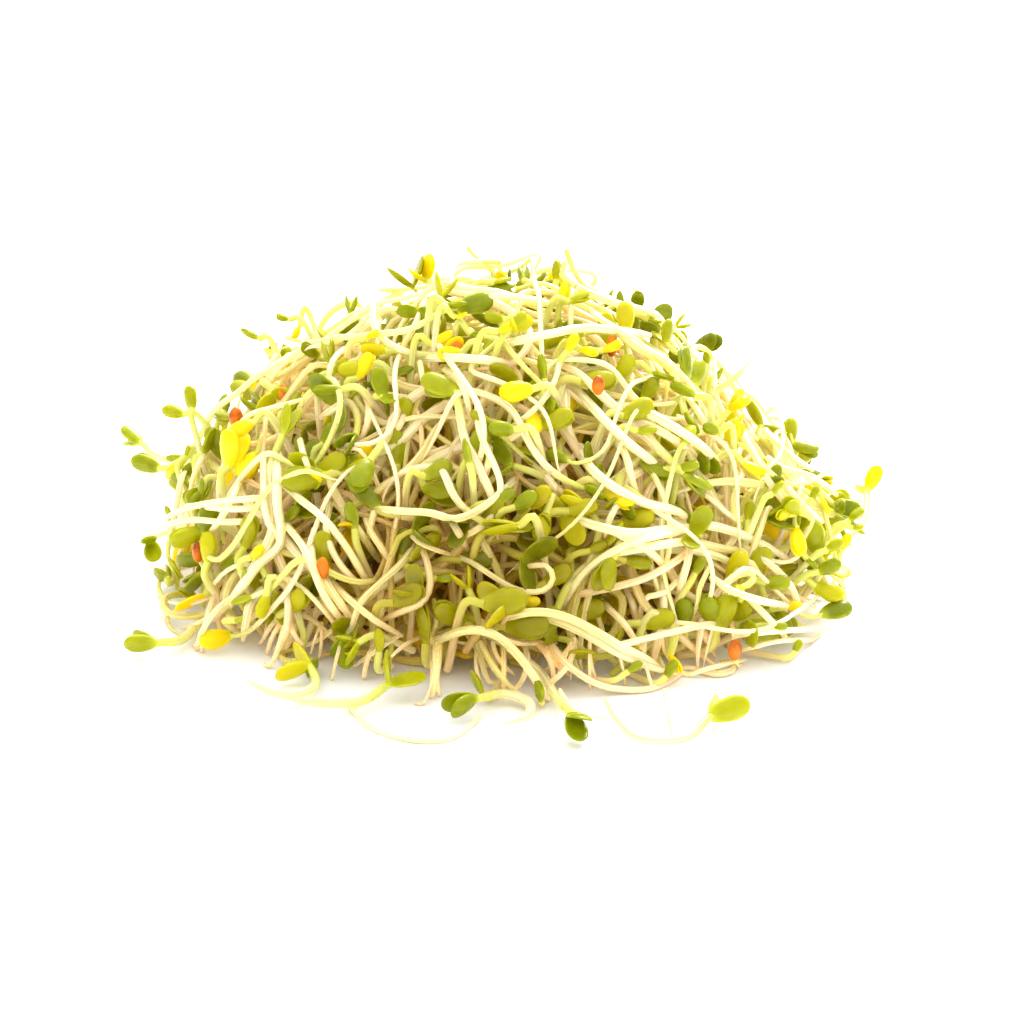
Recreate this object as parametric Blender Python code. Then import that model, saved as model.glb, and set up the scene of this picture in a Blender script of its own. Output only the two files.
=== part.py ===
"""A heap of fresh alfalfa sprouts, tipped out on a table.

The heap has a packed green heart, with leaf pairs that stand out of it, and a net of pale stems
laid over the heart. Single sprouts lie on the net and around the foot of the heap, each one a pale
stem that thins into a root, with a pair of oval seed leaves on a green neck. A few brown seed coats
cling between them. Metres, +Z up, origin at the middle of the flat base; -Y is the front.
"""

import math
import random
from collections import namedtuple

import bmesh
import bpy
import numpy as np
from mathutils import Matrix, Vector

MM = 0.001

# The packed heart of the heap; every layer of stems is this shape, grown outwards by its lift
HEART_HALF_WIDTH = 40 * MM
HEART_HALF_DEPTH = 33 * MM
HEART_HEIGHT = 31 * MM
FLANK_POWER = 1.5
HEART_SIDES = 26
HEART_RINGS = 16
HEART_SUNK = 4.5 * MM
HEART_DENT = 3.5 * MM
HEART_DENTS_ROUND = 7
HEART_DENTS_UP = 8
LEVEL = 0.01

# Where the heap bulges or sags: (x, y, reach, height)
SWELLINGS = (
    (-37 * MM, 3 * MM, 9 * MM, 4.0 * MM),
    (31 * MM, 2 * MM, 8 * MM, -3.5 * MM),
    (-10 * MM, -26 * MM, 7 * MM, -1.5 * MM),
    (14 * MM, 22 * MM, 9 * MM, 2.0 * MM),
)
SWELLING_FADE = 5

# Stems
STEM_RADIUS = 0.75 * MM
NECK_RADIUS = 0.58 * MM
ROOT_RADIUS = 0.36 * MM
NECK_STEP = 1.4 * MM
NECK_POINTS = 3
HEAD_OFF_TABLE = 0.9 * MM
TABLE_GAP = 0.05 * MM
FOOT_BLEND = 2.0 * MM
CLEARANCE = 0.35 * MM

# Seed leaves
LEAF_LENGTH = 5.4 * MM
LEAF_WIDTH = 3.0 * MM
LEAF_THICKNESS = 1.0 * MM
LEAF_ARCH = 0.5 * MM
LEAF_SUNK = 0.5 * MM
LEAF_SIDES = 6
LEAF_RINGS = 4
PAIR_UNEVEN = 6
PAIR_TWIST = 0.15
LEAST_SIDEWAYS = 0.25

# The net of stems over the heart
NET_SEED = 11
NET_STEMS = 74
NET_TRIES = 16
NET_SEGMENTS = 5
NET_LENGTH = (30 * MM, 48 * MM)
NET_FAR = 9 * MM
NET_CROSSING = 0.35 * MM
NET_TURN = (-50, 50)
NET_LIFT = (1.2 * MM, 5.2 * MM)
NET_REACH = 8.5 * MM
STRIDES = 6
LINE_STEPS = 10

# The leaf pairs that stand out of the heart
SHOOT_SEED = 23
SHOOTS = 36
SHOOT_TRIES = 4000
SHOOT_ROOT_LIFT = -10.0 * MM
SHOOT_TOP_LIFT = (5.0 * MM, 8.5 * MM)
SHOOT_WAIST = 0.25
SHOOT_CLIMB_SINES = (0.1, 1)
SHOOT_CLIMBS = (3, 89)
SHOOT_LEAN = 9
SHOOT_SCALE = (0.85, 1.1)
SHOOT_OPENING = (22, 62)
SHOOT_APART = 0.2 * MM
SHOOT_RINGS = 3

# The single sprouts
SPROUT_LIFT = 7.0 * MM
SPROUT_STEP = 5.0 * MM
ROOT_DIVE = 2.5 * MM
END_SHARES = (1, 0.4)
RAISE_STEP = 0.3 * MM
MOST_RAISES = 16

# Seed coats
COAT_LENGTH = 2.6 * MM
COAT_WIDTH = 1.7 * MM
COAT_THICKNESS = 1.3 * MM

# Where the balls lie that keep the pieces clear of each other
BALL_SPACING = 0.8 * MM
LEAF_BALL_REACHES = (0.1, 0.3, 0.5, 0.7, 0.9)
LEAF_BALL_SIDES = (-0.65, 0, 0.65)

COLOURS = {
    "stem_pale": (0.86, 0.83, 0.62),
    "heart_green": (0.36, 0.42, 0.08),
    "leaf_green": (0.33, 0.47, 0.04),
    "leaf_yellow": (0.74, 0.68, 0.02),
    "seed_coat": (0.50, 0.17, 0.03),
}
ROUGHNESS = {
    "stem_pale": 0.35,
    "heart_green": 0.60,
    "leaf_green": 0.40,
    "leaf_yellow": 0.40,
    "seed_coat": 0.45,
}

# A sprout's stem runs through its waypoints, from head to root. Each is (bearing, climb) in degrees:
# bearing 0 is the front and 90 the +X side; climb is 0 at the foot of the heap and 90 at its top,
# and below 0 it is how far out on the table the point lies, in millimetres. The leaf pair points at
# aim, which stands tilt millimetres above the head, and the head stands rise millimetres above its
# layer. The pair is opened by opening; roll 0 shows its edges from outside and roll 90 its faces.
Sprout = namedtuple("Sprout", "aim tilt rise waypoints opening roll leaf slot")
SPROUTS = {
    "shoulder_left": Sprout(
        aim=(-64, 37), tilt=4, rise=1, opening=78, roll=40, leaf=1.2, slot="leaf_yellow",
        waypoints=[(-71, 37), (-62, 34), (-54, 33), (-46, 31), (-38, 27), (-30, 22)],
    ),
    "fall_left": Sprout(
        aim=(-58, 51), tilt=1, rise=1, opening=18, roll=80, leaf=1.0, slot="leaf_green",
        waypoints=[(-57, 46), (-55, 41), (-50, 36), (-46, 31), (-47, 24), (-51, 15), (-56, 2)],
    ),
    "brow_left": Sprout(
        aim=(-42, 45), tilt=0, rise=0, opening=18, roll=75, leaf=1.0, slot="leaf_green",
        waypoints=[(-37, 48), (-33, 50), (-29, 53), (-25, 58), (-18, 62), (-7, 63)],
    ),
    "bean": Sprout(
        aim=(-31, 41), tilt=1, rise=2, opening=14, roll=65, leaf=1.1, slot="leaf_green",
        waypoints=[(-31, 47), (-31, 52), (-33, 56), (-30, 61), (-20, 66), (-4, 68)],
    ),
    "brow_middle": Sprout(
        aim=(-24, 61), tilt=0, rise=0, opening=18, roll=80, leaf=1.15, slot="leaf_green",
        waypoints=[(-15, 60), (-13, 57), (-10, 52), (-6, 47), (-3, 42), (-2, 36)],
    ),
    "face_left": Sprout(
        aim=(-11, 44), tilt=0, rise=0, opening=18, roll=80, leaf=1.15, slot="leaf_green",
        waypoints=[(-19, 46), (-21, 49), (-16, 52), (-8, 54), (3, 55), (12, 52)],
    ),
    "top_right": Sprout(
        aim=(91, 77), tilt=1, rise=0, opening=16, roll=50, leaf=1.2, slot="leaf_green",
        waypoints=[(94, 69), (88, 64), (82, 58), (76, 50), (71, 42)],
    ),
    "top_hook": Sprout(
        aim=(51, 57), tilt=1, rise=0, opening=35, roll=30, leaf=1.0, slot="leaf_green",
        waypoints=[(44, 61), (43, 65), (34, 67), (22, 65), (18, 60), (17, 55), (21, 49)],
    ),
    "crown": Sprout(
        aim=(-95, 77), tilt=5, rise=1, opening=30, roll=40, leaf=1.0, slot="leaf_yellow",
        waypoints=[(-114, 76), (-80, 80), (-20, 81), (5, 76), (9, 70), (0, 66), (-14, 67)],
    ),
    "brow_right": Sprout(
        aim=(52, 55), tilt=1, rise=0, opening=28, roll=60, leaf=1.15, slot="leaf_green",
        waypoints=[(64, 54), (55, 52), (49, 49), (46, 44), (47, 38), (53, 31)],
    ),
    "face_right": Sprout(
        aim=(41, 38), tilt=0, rise=0, opening=14, roll=60, leaf=1.0, slot="leaf_green",
        waypoints=[(37, 43), (33, 49), (27, 57), (23, 64), (10, 70)],
    ),
    "shoulder_right": Sprout(
        aim=(76, 20), tilt=1, rise=1, opening=18, roll=80, leaf=1.15, slot="leaf_green",
        waypoints=[(77, 26), (71, 30), (62, 35), (53, 39), (44, 41), (36, 41)],
    ),
    "bow": Sprout(
        aim=(8, 39), tilt=4, rise=0, opening=75, roll=10, leaf=1.15, slot="leaf_yellow",
        waypoints=[(11, 40), (17, 38), (24, 37), (35, 36), (46, 32), (57, 25), (66, 17)],
    ),
    "arc": Sprout(
        aim=(5, 20), tilt=0, rise=0, opening=30, roll=60, leaf=1.05, slot="leaf_green",
        waypoints=[(8, 23), (10, 27), (15, 31), (24, 32), (34, 31), (43, 27), (50, 20)],
    ),
    "ribbon": Sprout(
        aim=(-5, 26), tilt=2, rise=0, opening=50, roll=60, leaf=1.2, slot="leaf_yellow",
        waypoints=[(0, 24), (6, 22), (11, 19), (16, 14), (21, 8), (25, -2)],
    ),
    "face_low": Sprout(
        aim=(-27, 10), tilt=0, rise=0, opening=30, roll=50, leaf=1.05, slot="leaf_green",
        waypoints=[(-26, 15), (-26, 21), (-22, 27), (-17, 32), (-13, 37)],
    ),
    "flank_left": Sprout(
        aim=(-99, 25), tilt=5, rise=7, opening=14, roll=10, leaf=1.0, slot="leaf_green",
        waypoints=[(-98, 24), (-94, 26), (-88, 29), (-82, 31), (-75, 31)],
    ),
    "back_fall": Sprout(
        aim=(150, 62), tilt=2, rise=0, opening=50, roll=30, leaf=1.1, slot="leaf_green",
        waypoints=[(160, 58), (168, 50), (178, 42), (186, 33), (184, 23), (178, 12), (174, 1)],
    ),
    "table_front": Sprout(
        aim=(7, -19), tilt=0, rise=0, opening=20, roll=75, leaf=1.15, slot="leaf_green",
        waypoints=[(7, -13), (6, -5), (5, 5), (2, 12), (-2, 17), (-7, 19), (-12, 17)],
    ),
    "table_arc": Sprout(
        aim=(-8, -11), tilt=0, rise=0, opening=18, roll=80, leaf=1.05, slot="leaf_green",
        waypoints=[(-4, -8), (-0.5, -4.5), (2.5, -7), (2, -12), (-1, -16)],
    ),
    "table_right": Sprout(
        aim=(26, -15), tilt=0, rise=0, opening=35, roll=75, leaf=1.2, slot="leaf_green",
        waypoints=[(21, -17), (17, -20), (13, -19), (12, -15), (12, -9)],
    ),
    "table_left": Sprout(
        aim=(-55, -12), tilt=0, rise=0, opening=20, roll=80, leaf=1.0, slot="leaf_green",
        waypoints=[(-51, -10), (-52, -6), (-56, -2), (-60, 3), (-63, 9)],
    ),
    "table_yellow": Sprout(
        aim=(-35, -3), tilt=1, rise=0.5, opening=45, roll=70, leaf=1.1, slot="leaf_yellow",
        waypoints=[(-29, -3), (-26, -6), (-26, -10), (-29, -12), (-34, -12)],
    ),
    "table_pair": Sprout(
        aim=(-13, -1), tilt=3, rise=0, opening=45, roll=20, leaf=1.1, slot="leaf_green",
        waypoints=[(-16, -4), (-18, -8), (-22, -11), (-27, -13)],
    ),
    "table_left_end": Sprout(
        aim=(-91, -3), tilt=0, rise=0, opening=30, roll=20, leaf=1.0, slot="leaf_green",
        waypoints=[(-97, -4), (-104, -5), (-113, -1), (-117, 4), (-119, 10)],
    ),
    "table_back_left": Sprout(
        aim=(-135, -39), tilt=1, rise=0, opening=25, roll=80, leaf=1.0, slot="leaf_green",
        waypoints=[(-135, -33), (-134, -27), (-136, -21), (-140, -15)],
    ),
    "table_far_right": Sprout(
        aim=(126, -19), tilt=2, rise=0, opening=55, roll=20, leaf=0.95, slot="leaf_yellow",
        waypoints=[(121, -15), (114, -10), (106, -5), (99, 1), (93, 7)],
    ),
    "table_back": Sprout(
        aim=(168, -8), tilt=1, rise=0, opening=45, roll=45, leaf=1.1, slot="leaf_green",
        waypoints=[(162, -5), (156, -3), (150, 0), (144, 5), (139, 9)],
    ),
}

# Seed coats: (bearing, climb, lift in millimetres)
SEED_COATS = {
    "seed_coat_middle": (24, 58, 8.0),
    "seed_coat_left": (-76, 50, 8.0),
}


def resting(height):
    """A stem's height, eased up where it would sink into the table."""
    table = STEM_RADIUS + TABLE_GAP
    return (height + table + math.hypot(height - table, FOOT_BLEND)) / 2


def dome_height(x, y, lift):
    """Height above (x, y) of the layer that is `lift` outside the heart; below 0 beyond its foot."""
    rest = 1 - (x / (HEART_HALF_WIDTH + lift)) ** 2 - (y / (HEART_HALF_DEPTH + lift)) ** 2
    dome = (HEART_HEIGHT + lift) * math.copysign(abs(rest) ** (FLANK_POWER / 2), rest)
    for across, deep, reach, height in SWELLINGS:
        far = ((x - across) ** 2 + (y - deep) ** 2) / (2 * reach * reach)
        dome += height * math.exp(-far) * max(min(rest * SWELLING_FADE, 1), 0)
    return dome


def layer_height(x, y, lift):
    """The layer's height, running out on the table."""
    return resting(dome_height(x, y, lift))


def heap_point(bearing, climb, lift):
    """The point of the layer that is `lift` outside the heart, at a bearing and a climb in degrees."""
    turn, rise = math.radians(bearing), math.radians(max(climb, 0))
    across = (HEART_HALF_WIDTH + lift) * math.sin(turn) * math.cos(rise)
    deep = -(HEART_HALF_DEPTH + lift) * math.cos(turn) * math.cos(rise)
    out = 1 + max(-climb, 0) * MM / math.hypot(across, deep) if climb < 0 else 1
    return Vector((across * out, deep * out, max(dome_height(across * out, deep * out, lift), 0)))


def beyond_foot(point):
    """How far out a point is, where 1 is the edge of the net."""
    return math.hypot(point.x / (HEART_HALF_WIDTH + NET_REACH), point.y / (HEART_HALF_DEPTH + NET_REACH))


def outward(point):
    """The direction away from the heap at a point."""
    return Vector(
        (point.x / HEART_HALF_WIDTH**2, point.y / HEART_HALF_DEPTH**2, max(point.z, 0) / HEART_HEIGHT**2)
    ).normalized()


def smooth_line(waypoints, step):
    """Points about `step` apart along a smooth curve through the waypoints."""
    first = waypoints[0] * 2 - waypoints[1]
    last = waypoints[-1] * 2 - waypoints[-2]
    knots = [first, *waypoints, last]
    fine = []
    for before, start, end, after in zip(knots, knots[1:], knots[2:], knots[3:]):
        for i in range(LINE_STEPS):
            t = i / LINE_STEPS
            fine.append(
                0.5
                * (
                    2 * start
                    + (end - before) * t
                    + (2 * before - 5 * start + 4 * end - after) * t**2
                    + (3 * start - before - 3 * end + after) * t**3
                )
            )
    fine.append(waypoints[-1])
    along = np.cumsum([0] + [(b - a).length for a, b in zip(fine, fine[1:])])
    count = max(3, round(along[-1] / step) + 1)
    places = np.array([tuple(p) for p in fine])
    wanted = np.linspace(0, along[-1], count)
    return [Vector(p) for p in zip(*(np.interp(wanted, along, places[:, axis]) for axis in range(3)))]


def laid_line(start, lift, heading, turn, length, end_lift):
    """A stem laid over the heap from a point: its line, and the lift at each of its points."""
    strides = NET_SEGMENTS * STRIDES
    stride = length / strides
    x, y = start.x, start.y
    points, lifts = [], []
    for i in range(strides + 1):
        share = i / strides
        level = lift + (end_lift - lift) * share * share * (3 - 2 * share)
        height = layer_height(x, y, level)
        if i % STRIDES == 0:
            points.append(Vector((x, y, height)))
            lifts.append(level)
        heading += turn / strides
        ahead = layer_height(x + stride * math.cos(heading), y + stride * math.sin(heading), level)
        run = stride / math.hypot(1, (ahead - height) / stride)
        x += run * math.cos(heading)
        y += run * math.sin(heading)
    return points, lifts


def stem_radii(count, start, end):
    """Radii from one end of a stem to the other, fullest in between."""
    shares = [i / (count - 1) for i in range(count)]
    return [start + (end - start) * s + (STEM_RADIUS - (start + end) / 2) * 4 * s * (1 - s) for s in shares]


class Room:
    """The room that is taken, as balls of (x, y, z, radius), to keep new pieces clear of it."""

    def __init__(self):
        self.balls = np.zeros((0, 4))

    def take(self, balls):
        self.balls = np.vstack([self.balls, balls])

    def gaps(self, balls):
        """For each of these balls, its distance from what is placed."""
        if not len(self.balls):
            return np.full(len(balls), math.inf)
        apart = np.linalg.norm(balls[:, None, :3] - self.balls[None, :, :3], axis=2)
        return (apart - balls[:, None, 3] - self.balls[None, :, 3]).min(axis=1)

    def gap(self, balls):
        """The least distance between these balls and what is placed."""
        return float(self.gaps(balls).min())


def stem_balls(line, radii):
    """Balls along a stem."""
    balls = []
    for start, end, first, last in zip(line, line[1:], radii, radii[1:]):
        count = max(2, math.ceil((end - start).length / BALL_SPACING) + 1)
        for share in np.linspace(0, 1, count):
            balls.append((*start.lerp(end, share), first + (last - first) * share))
    return np.array(balls)


def blade_point(head, along, across, scale, reach, side, out):
    """A point of a leaf: reach 0 to 1 along it, side and out -1 to 1 across it and through it."""
    normal = along.cross(across)
    return (
        head
        + along * (reach * LEAF_LENGTH * scale - LEAF_SUNK)
        + across * (side * LEAF_WIDTH * scale / 2)
        + normal * (out * LEAF_THICKNESS / 2 + LEAF_ARCH * reach * reach)
    )


def leaf_balls(head, along, across, scale):
    """Balls over a leaf."""
    balls = []
    for reach in LEAF_BALL_REACHES:
        half = 2 * math.sqrt(reach * (1 - reach))
        for side in LEAF_BALL_SIDES:
            place = blade_point(head, along, across, scale, reach, side * half, 0)
            balls.append((*place, LEAF_THICKNESS / 2))
    return np.array(balls)


def leaf_pair(axis, away, roll, opening):
    """The (along, across) directions of both leaves of a head that points along axis."""
    level = axis.cross(away)
    if level.length < LEAST_SIDEWAYS:
        level = axis.cross(Vector((0, 0, 1)) if abs(axis.z) < abs(axis.x) else Vector((1, 0, 0)))
    spread = Matrix.Rotation(math.radians(roll), 3, axis) @ level.normalized()
    across = axis.cross(spread).normalized()
    for sign, half in ((1, math.radians(opening)), (-1, math.radians(opening + PAIR_UNEVEN))):
        sideways = (spread + across * sign * PAIR_TWIST).normalized() * sign
        along = (axis * math.cos(half) + sideways * math.sin(half)).normalized()
        yield along, (across * sign - along * along.dot(across * sign)).normalized()


def material(slot):
    """The Principled material of a slot."""
    made = bpy.data.materials.get(slot)
    if made is None:
        made = bpy.data.materials.new(slot)
        made.use_nodes = True
        shader = made.node_tree.nodes["Principled BSDF"]
        shader.inputs["Base Color"].default_value = (*COLOURS[slot], 1)
        shader.inputs["Roughness"].default_value = ROUGHNESS[slot]
        shader.inputs["Metallic"].default_value = 0
        made.diffuse_color = (*COLOURS[slot], 1)
    return made


def placed(name, mesh, slot):
    """A mesh as a named object of the heap, in its slot's material."""
    mesh.materials.clear()
    mesh.materials.append(material(slot))
    piece = bpy.data.objects.new(name, mesh)
    bpy.data.collections["alfalfa_sprouts"].objects.link(piece)
    return piece


def tube(name, line, radii, slot, rounding=1):
    """A stem along a line, closed at both ends: six-sided, or four-sided where rounding is 0."""
    curve = bpy.data.curves.new(name, "CURVE")
    curve.dimensions = "3D"
    curve.bevel_depth = 1
    curve.bevel_resolution = rounding
    curve.use_fill_caps = True
    spline = curve.splines.new("POLY")
    spline.points.add(len(line) - 1)
    for point, place, radius in zip(spline.points, line, radii):
        point.co = (*place, 1)
        point.radius = radius
    guide = bpy.data.objects.new(name + "_guide", curve)
    bpy.context.scene.collection.objects.link(guide)
    bpy.context.view_layer.update()
    mesh = bpy.data.meshes.new_from_object(guide.evaluated_get(bpy.context.evaluated_depsgraph_get()))
    bpy.data.objects.remove(guide)
    shape = bmesh.new()
    shape.from_mesh(mesh)
    bmesh.ops.remove_doubles(shape, verts=shape.verts, dist=0.001 * MM)
    bmesh.ops.recalc_face_normals(shape, faces=shape.faces)
    shape.to_mesh(mesh)
    shape.free()
    return placed(name, mesh, slot)


def ball_mesh(name, sides, rings, place):
    """A closed mesh whose points are a unit ball's, moved by a rule."""
    shape = bmesh.new()
    bmesh.ops.create_uvsphere(shape, u_segments=sides, v_segments=rings, radius=1)
    for vertex in shape.verts:
        vertex.co = place(vertex.co)
    bmesh.ops.recalc_face_normals(shape, faces=shape.faces)
    mesh = bpy.data.meshes.new(name)
    shape.to_mesh(mesh)
    shape.free()
    return mesh


def leaf(name, head, along, across, scale, slot, rings=LEAF_RINGS):
    """One oval seed leaf, thick in the middle and gently arched, its foot sunk in the head."""

    def place(unit):
        return blade_point(head, along, across, scale, (unit.z + 1) / 2, unit.x, unit.y)

    return placed(name, ball_mesh(name, LEAF_SIDES, rings, place), slot)


def without_cavities(mesh):
    """The mesh without the inward-facing shells that a union leaves round a pocket sealed inside it."""
    shape = bmesh.new()
    shape.from_mesh(mesh)
    unseen = set(shape.faces)
    while unseen:
        shell, edge_of_shell = set(), [unseen.pop()]
        while edge_of_shell:
            face = edge_of_shell.pop()
            shell.add(face)
            beside = {other for edge in face.edges for other in edge.link_faces} & unseen
            unseen -= beside
            edge_of_shell.extend(beside)
        volume = sum(face.calc_center_median().dot(face.normal) * face.calc_area() for face in shell)
        if volume < 0:
            bmesh.ops.delete(shape, geom=list({v for face in shell for v in face.verts}), context="VERTS")
    shape.to_mesh(mesh)
    shape.free()
    return mesh


def fused(name, pieces, slot, solver="EXACT"):
    """One solid made of overlapping pieces, which it uses up."""
    body, *rest = pieces
    others = bpy.data.collections.new(name + "_pieces")
    bpy.context.scene.collection.children.link(others)
    for piece in rest:
        others.objects.link(piece)
    union = body.modifiers.new("Union", "BOOLEAN")
    union.operation = "UNION"
    union.operand_type = "COLLECTION"
    union.collection = others
    union.solver = solver
    bpy.context.view_layer.update()
    mesh = bpy.data.meshes.new_from_object(body.evaluated_get(bpy.context.evaluated_depsgraph_get()))
    for piece in pieces:
        bpy.data.objects.remove(piece)
    bpy.data.collections.remove(others)
    return placed(name, without_cavities(mesh), slot)


def heart_core():
    """The packed middle of the heap, gently dented, with a flat base."""

    def place(unit):
        bearing = math.degrees(math.atan2(unit.x, -unit.y))
        climb = math.degrees(math.asin(min(1, max(0, unit.z))))
        around, up = math.radians(HEART_DENTS_ROUND * bearing), math.radians(HEART_DENTS_UP * climb)
        dents = math.sin(around) * math.sin(up)
        return heap_point(bearing, climb, -HEART_SUNK - HEART_DENT * (1 + dents) / 2)

    shape = bmesh.new()
    bmesh.ops.create_uvsphere(shape, u_segments=HEART_SIDES, v_segments=HEART_RINGS, radius=1)
    below = [vertex for vertex in shape.verts if vertex.co.z < -LEVEL]
    bmesh.ops.delete(shape, geom=below, context="VERTS")
    for vertex in shape.verts:
        vertex.co = place(vertex.co)
    rim = [edge for edge in shape.edges if edge.is_boundary]
    for vertex in {v for edge in rim for v in edge.verts}:
        vertex.co.z = 0
    bmesh.ops.holes_fill(shape, edges=rim, sides=0)
    bmesh.ops.recalc_face_normals(shape, faces=shape.faces)
    mesh = bpy.data.meshes.new("core")
    shape.to_mesh(mesh)
    shape.free()
    return placed("core", mesh, "heart_green")


def heart(room):
    """The packed middle and the leaf pairs that stand out of it between the stems, in one solid."""
    draw = random.Random(SHOOT_SEED)
    own = Room()
    pieces = [heart_core()]
    for _ in range(SHOOT_TRIES):
        if len(pieces) > 3 * SHOOTS:
            break
        bearing = draw.uniform(-180, 180)
        climb = math.degrees(math.asin(draw.uniform(*SHOOT_CLIMB_SINES)))
        turn, lean = draw.uniform(-SHOOT_LEAN, SHOOT_LEAN), draw.uniform(-SHOOT_LEAN, SHOOT_LEAN)
        top_lift = draw.uniform(*SHOOT_TOP_LIFT)
        roll, opening, scale = draw.uniform(0, 180), draw.uniform(*SHOOT_OPENING), draw.uniform(*SHOOT_SCALE)
        root = heap_point(bearing, climb, SHOOT_ROOT_LIFT)
        waist = heap_point(bearing, climb, top_lift * SHOOT_WAIST)
        head_climb = min(max(climb + lean, SHOOT_CLIMBS[0]), SHOOT_CLIMBS[1])
        head = heap_point(bearing + turn, head_climb, top_lift)
        line = smooth_line([root, waist, head], top_lift / 2)
        radii = [NECK_RADIUS] * len(line)
        axis = (line[-1] - line[-2]).normalized()
        leaves = [(*pair, scale) for pair in leaf_pair(axis, outward(head), roll, opening)]
        balls = np.vstack([leaf_balls(head, *each) for each in leaves])
        if room.gap(np.vstack([stem_balls(line, radii), balls])) < CLEARANCE:
            continue
        if own.gap(balls) < SHOOT_APART or (balls[:, 2] - balls[:, 3]).min() < TABLE_GAP:
            continue
        own.take(balls)
        pieces.append(tube("neck", line, radii, "heart_green", 0))
        pieces.extend(leaf("leaf", head, *each, "heart_green", SHOOT_RINGS) for each in leaves)
    room.take(own.balls)
    return fused("heart_with_leaves", pieces, "heart_green")


def net(room):
    """Pale stems laid over the heart. Each starts in an earlier one, so that they hold together."""
    draw = random.Random(NET_SEED)
    laid = [laid_line(heap_point(-60, 35, NET_LIFT[0]), NET_LIFT[0], 0, 0, NET_LENGTH[1], NET_LIFT[0])]
    own = Room()
    own.take(stem_balls(laid[0][0], [STEM_RADIUS] * len(laid[0][0])))
    while len(laid) < NET_STEMS:
        best, most = None, -math.inf
        for _ in range(NET_TRIES):
            points, lifts = draw.choice(laid)
            at = draw.randrange(1, len(points) - 1)
            length = draw.uniform(*NET_LENGTH)
            turn = math.radians(draw.uniform(*NET_TURN))
            heading = draw.uniform(-math.pi, math.pi)
            line = laid_line(points[at], lifts[at], heading, turn, length, draw.uniform(*NET_LIFT))
            balls = stem_balls(line[0], stem_radii(len(line[0]), ROOT_RADIUS, NECK_RADIUS))
            if max(beyond_foot(point) for point in line[0]) > 1 or room.gap(balls) < CLEARANCE:
                continue
            gaps = own.gaps(balls)
            value = np.minimum(gaps, NET_FAR).mean() - NET_CROSSING * (gaps < 0).sum()
            if value > most:
                best, most = (line, balls), value
        if best:
            laid.append(best[0])
            own.take(best[1])
    room.take(own.balls)
    pieces = []
    for points, _ in laid:
        pieces.append(tube("stem", points, stem_radii(len(points), ROOT_RADIUS, NECK_RADIUS), "stem_pale", 0))
    return fused("net_of_stems", pieces, "stem_pale", "MANIFOLD")


def sprout_shape(sprout, lift):
    """A single sprout at a lift: its stem line and radii, its neck line, and its leaves."""
    head_lifts = [lift + sprout.rise * MM * share for share in END_SHARES]
    root_lifts = [lift - ROOT_DIVE * share for share in reversed(END_SHARES)]
    lifts = head_lifts + [lift] * (len(sprout.waypoints) - 2 * len(END_SHARES)) + root_lifts
    places = [heap_point(*waypoint, up) for waypoint, up in zip(sprout.waypoints, lifts)]
    aim = heap_point(*sprout.aim, lifts[0] + sprout.tilt * MM)
    for place in places:
        place.z = resting(place.z)
    if sprout.waypoints[0][1] < 0:
        places[0].z += HEAD_OFF_TABLE
        aim.z = places[0].z + sprout.tilt * MM
    line = smooth_line(places, NECK_STEP)
    neck, rest = line[:NECK_POINTS], line[NECK_POINTS:]
    stem_top = neck[-1] + (rest[0] - neck[-1]).normalized() * CLEARANCE
    stem = smooth_line([stem_top, *rest], SPROUT_STEP)
    axis = (aim - neck[0]).normalized()
    leaves = [(*pair, sprout.leaf) for pair in leaf_pair(axis, outward(neck[0]), sprout.roll, sprout.opening)]
    return stem, stem_radii(len(stem), NECK_RADIUS, ROOT_RADIUS), neck, leaves


def single_sprout(name, sprout, room):
    """One whole sprout: its pale stem and root, and its green neck with both leaves."""
    for raises in range(MOST_RAISES):
        line, radii, neck, leaves = sprout_shape(sprout, SPROUT_LIFT + raises * RAISE_STEP)
        neck_radii = [NECK_RADIUS] * len(neck)
        green = np.vstack([leaf_balls(neck[0], *each) for each in leaves])
        balls = np.vstack([stem_balls(line, radii), stem_balls(neck, neck_radii), green])
        if room.gap(balls) >= CLEARANCE:
            break
    else:
        print(f"{name} isn't clear of the others: {room.gap(balls) / MM:.2f} mm")
    lowest = (balls[:, 2] - balls[:, 3]).min()
    if lowest < 0:
        print(f"{name} is {-lowest / MM:.2f} mm in the table")
    room.take(balls)
    tube(f"{name}_stem", line, radii, "stem_pale")
    pieces = [tube("neck", neck, neck_radii, sprout.slot)]
    pieces.extend(leaf("leaf", neck[0], *each, sprout.slot) for each in leaves)
    fused(f"{name}_leaves", pieces, sprout.slot)


def seed_coat(name, bearing, climb, lift, room):
    """An empty brown seed coat, pushed outwards until it clears what lies below it."""
    for raises in range(MOST_RAISES * 2):
        middle = heap_point(bearing, climb, lift * MM + raises * RAISE_STEP)
        ball = np.array([(*middle, COAT_LENGTH / 2)])
        if room.gap(ball) >= CLEARANCE:
            break
    room.take(ball)
    turned = Matrix.Rotation(math.radians(bearing), 3, "Z")

    def place(unit):
        shape = Vector((unit.x * COAT_WIDTH / 2, unit.y * COAT_THICKNESS / 2, unit.z * COAT_LENGTH / 2))
        return middle + turned @ shape

    placed(name, ball_mesh(name, LEAF_SIDES + 2, LEAF_RINGS + 1, place), "seed_coat")


def clear_scene():
    for item in list(bpy.data.objects):
        bpy.data.objects.remove(item)


def main():
    clear_scene()
    heap = bpy.data.collections.new("alfalfa_sprouts")
    bpy.context.scene.collection.children.link(heap)
    room = Room()
    for name, sprout in SPROUTS.items():
        single_sprout(name, sprout, room)
    for name, (bearing, climb, lift) in SEED_COATS.items():
        seed_coat(name, bearing, climb, lift, room)
    net(room)
    heart(room)


main()
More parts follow.
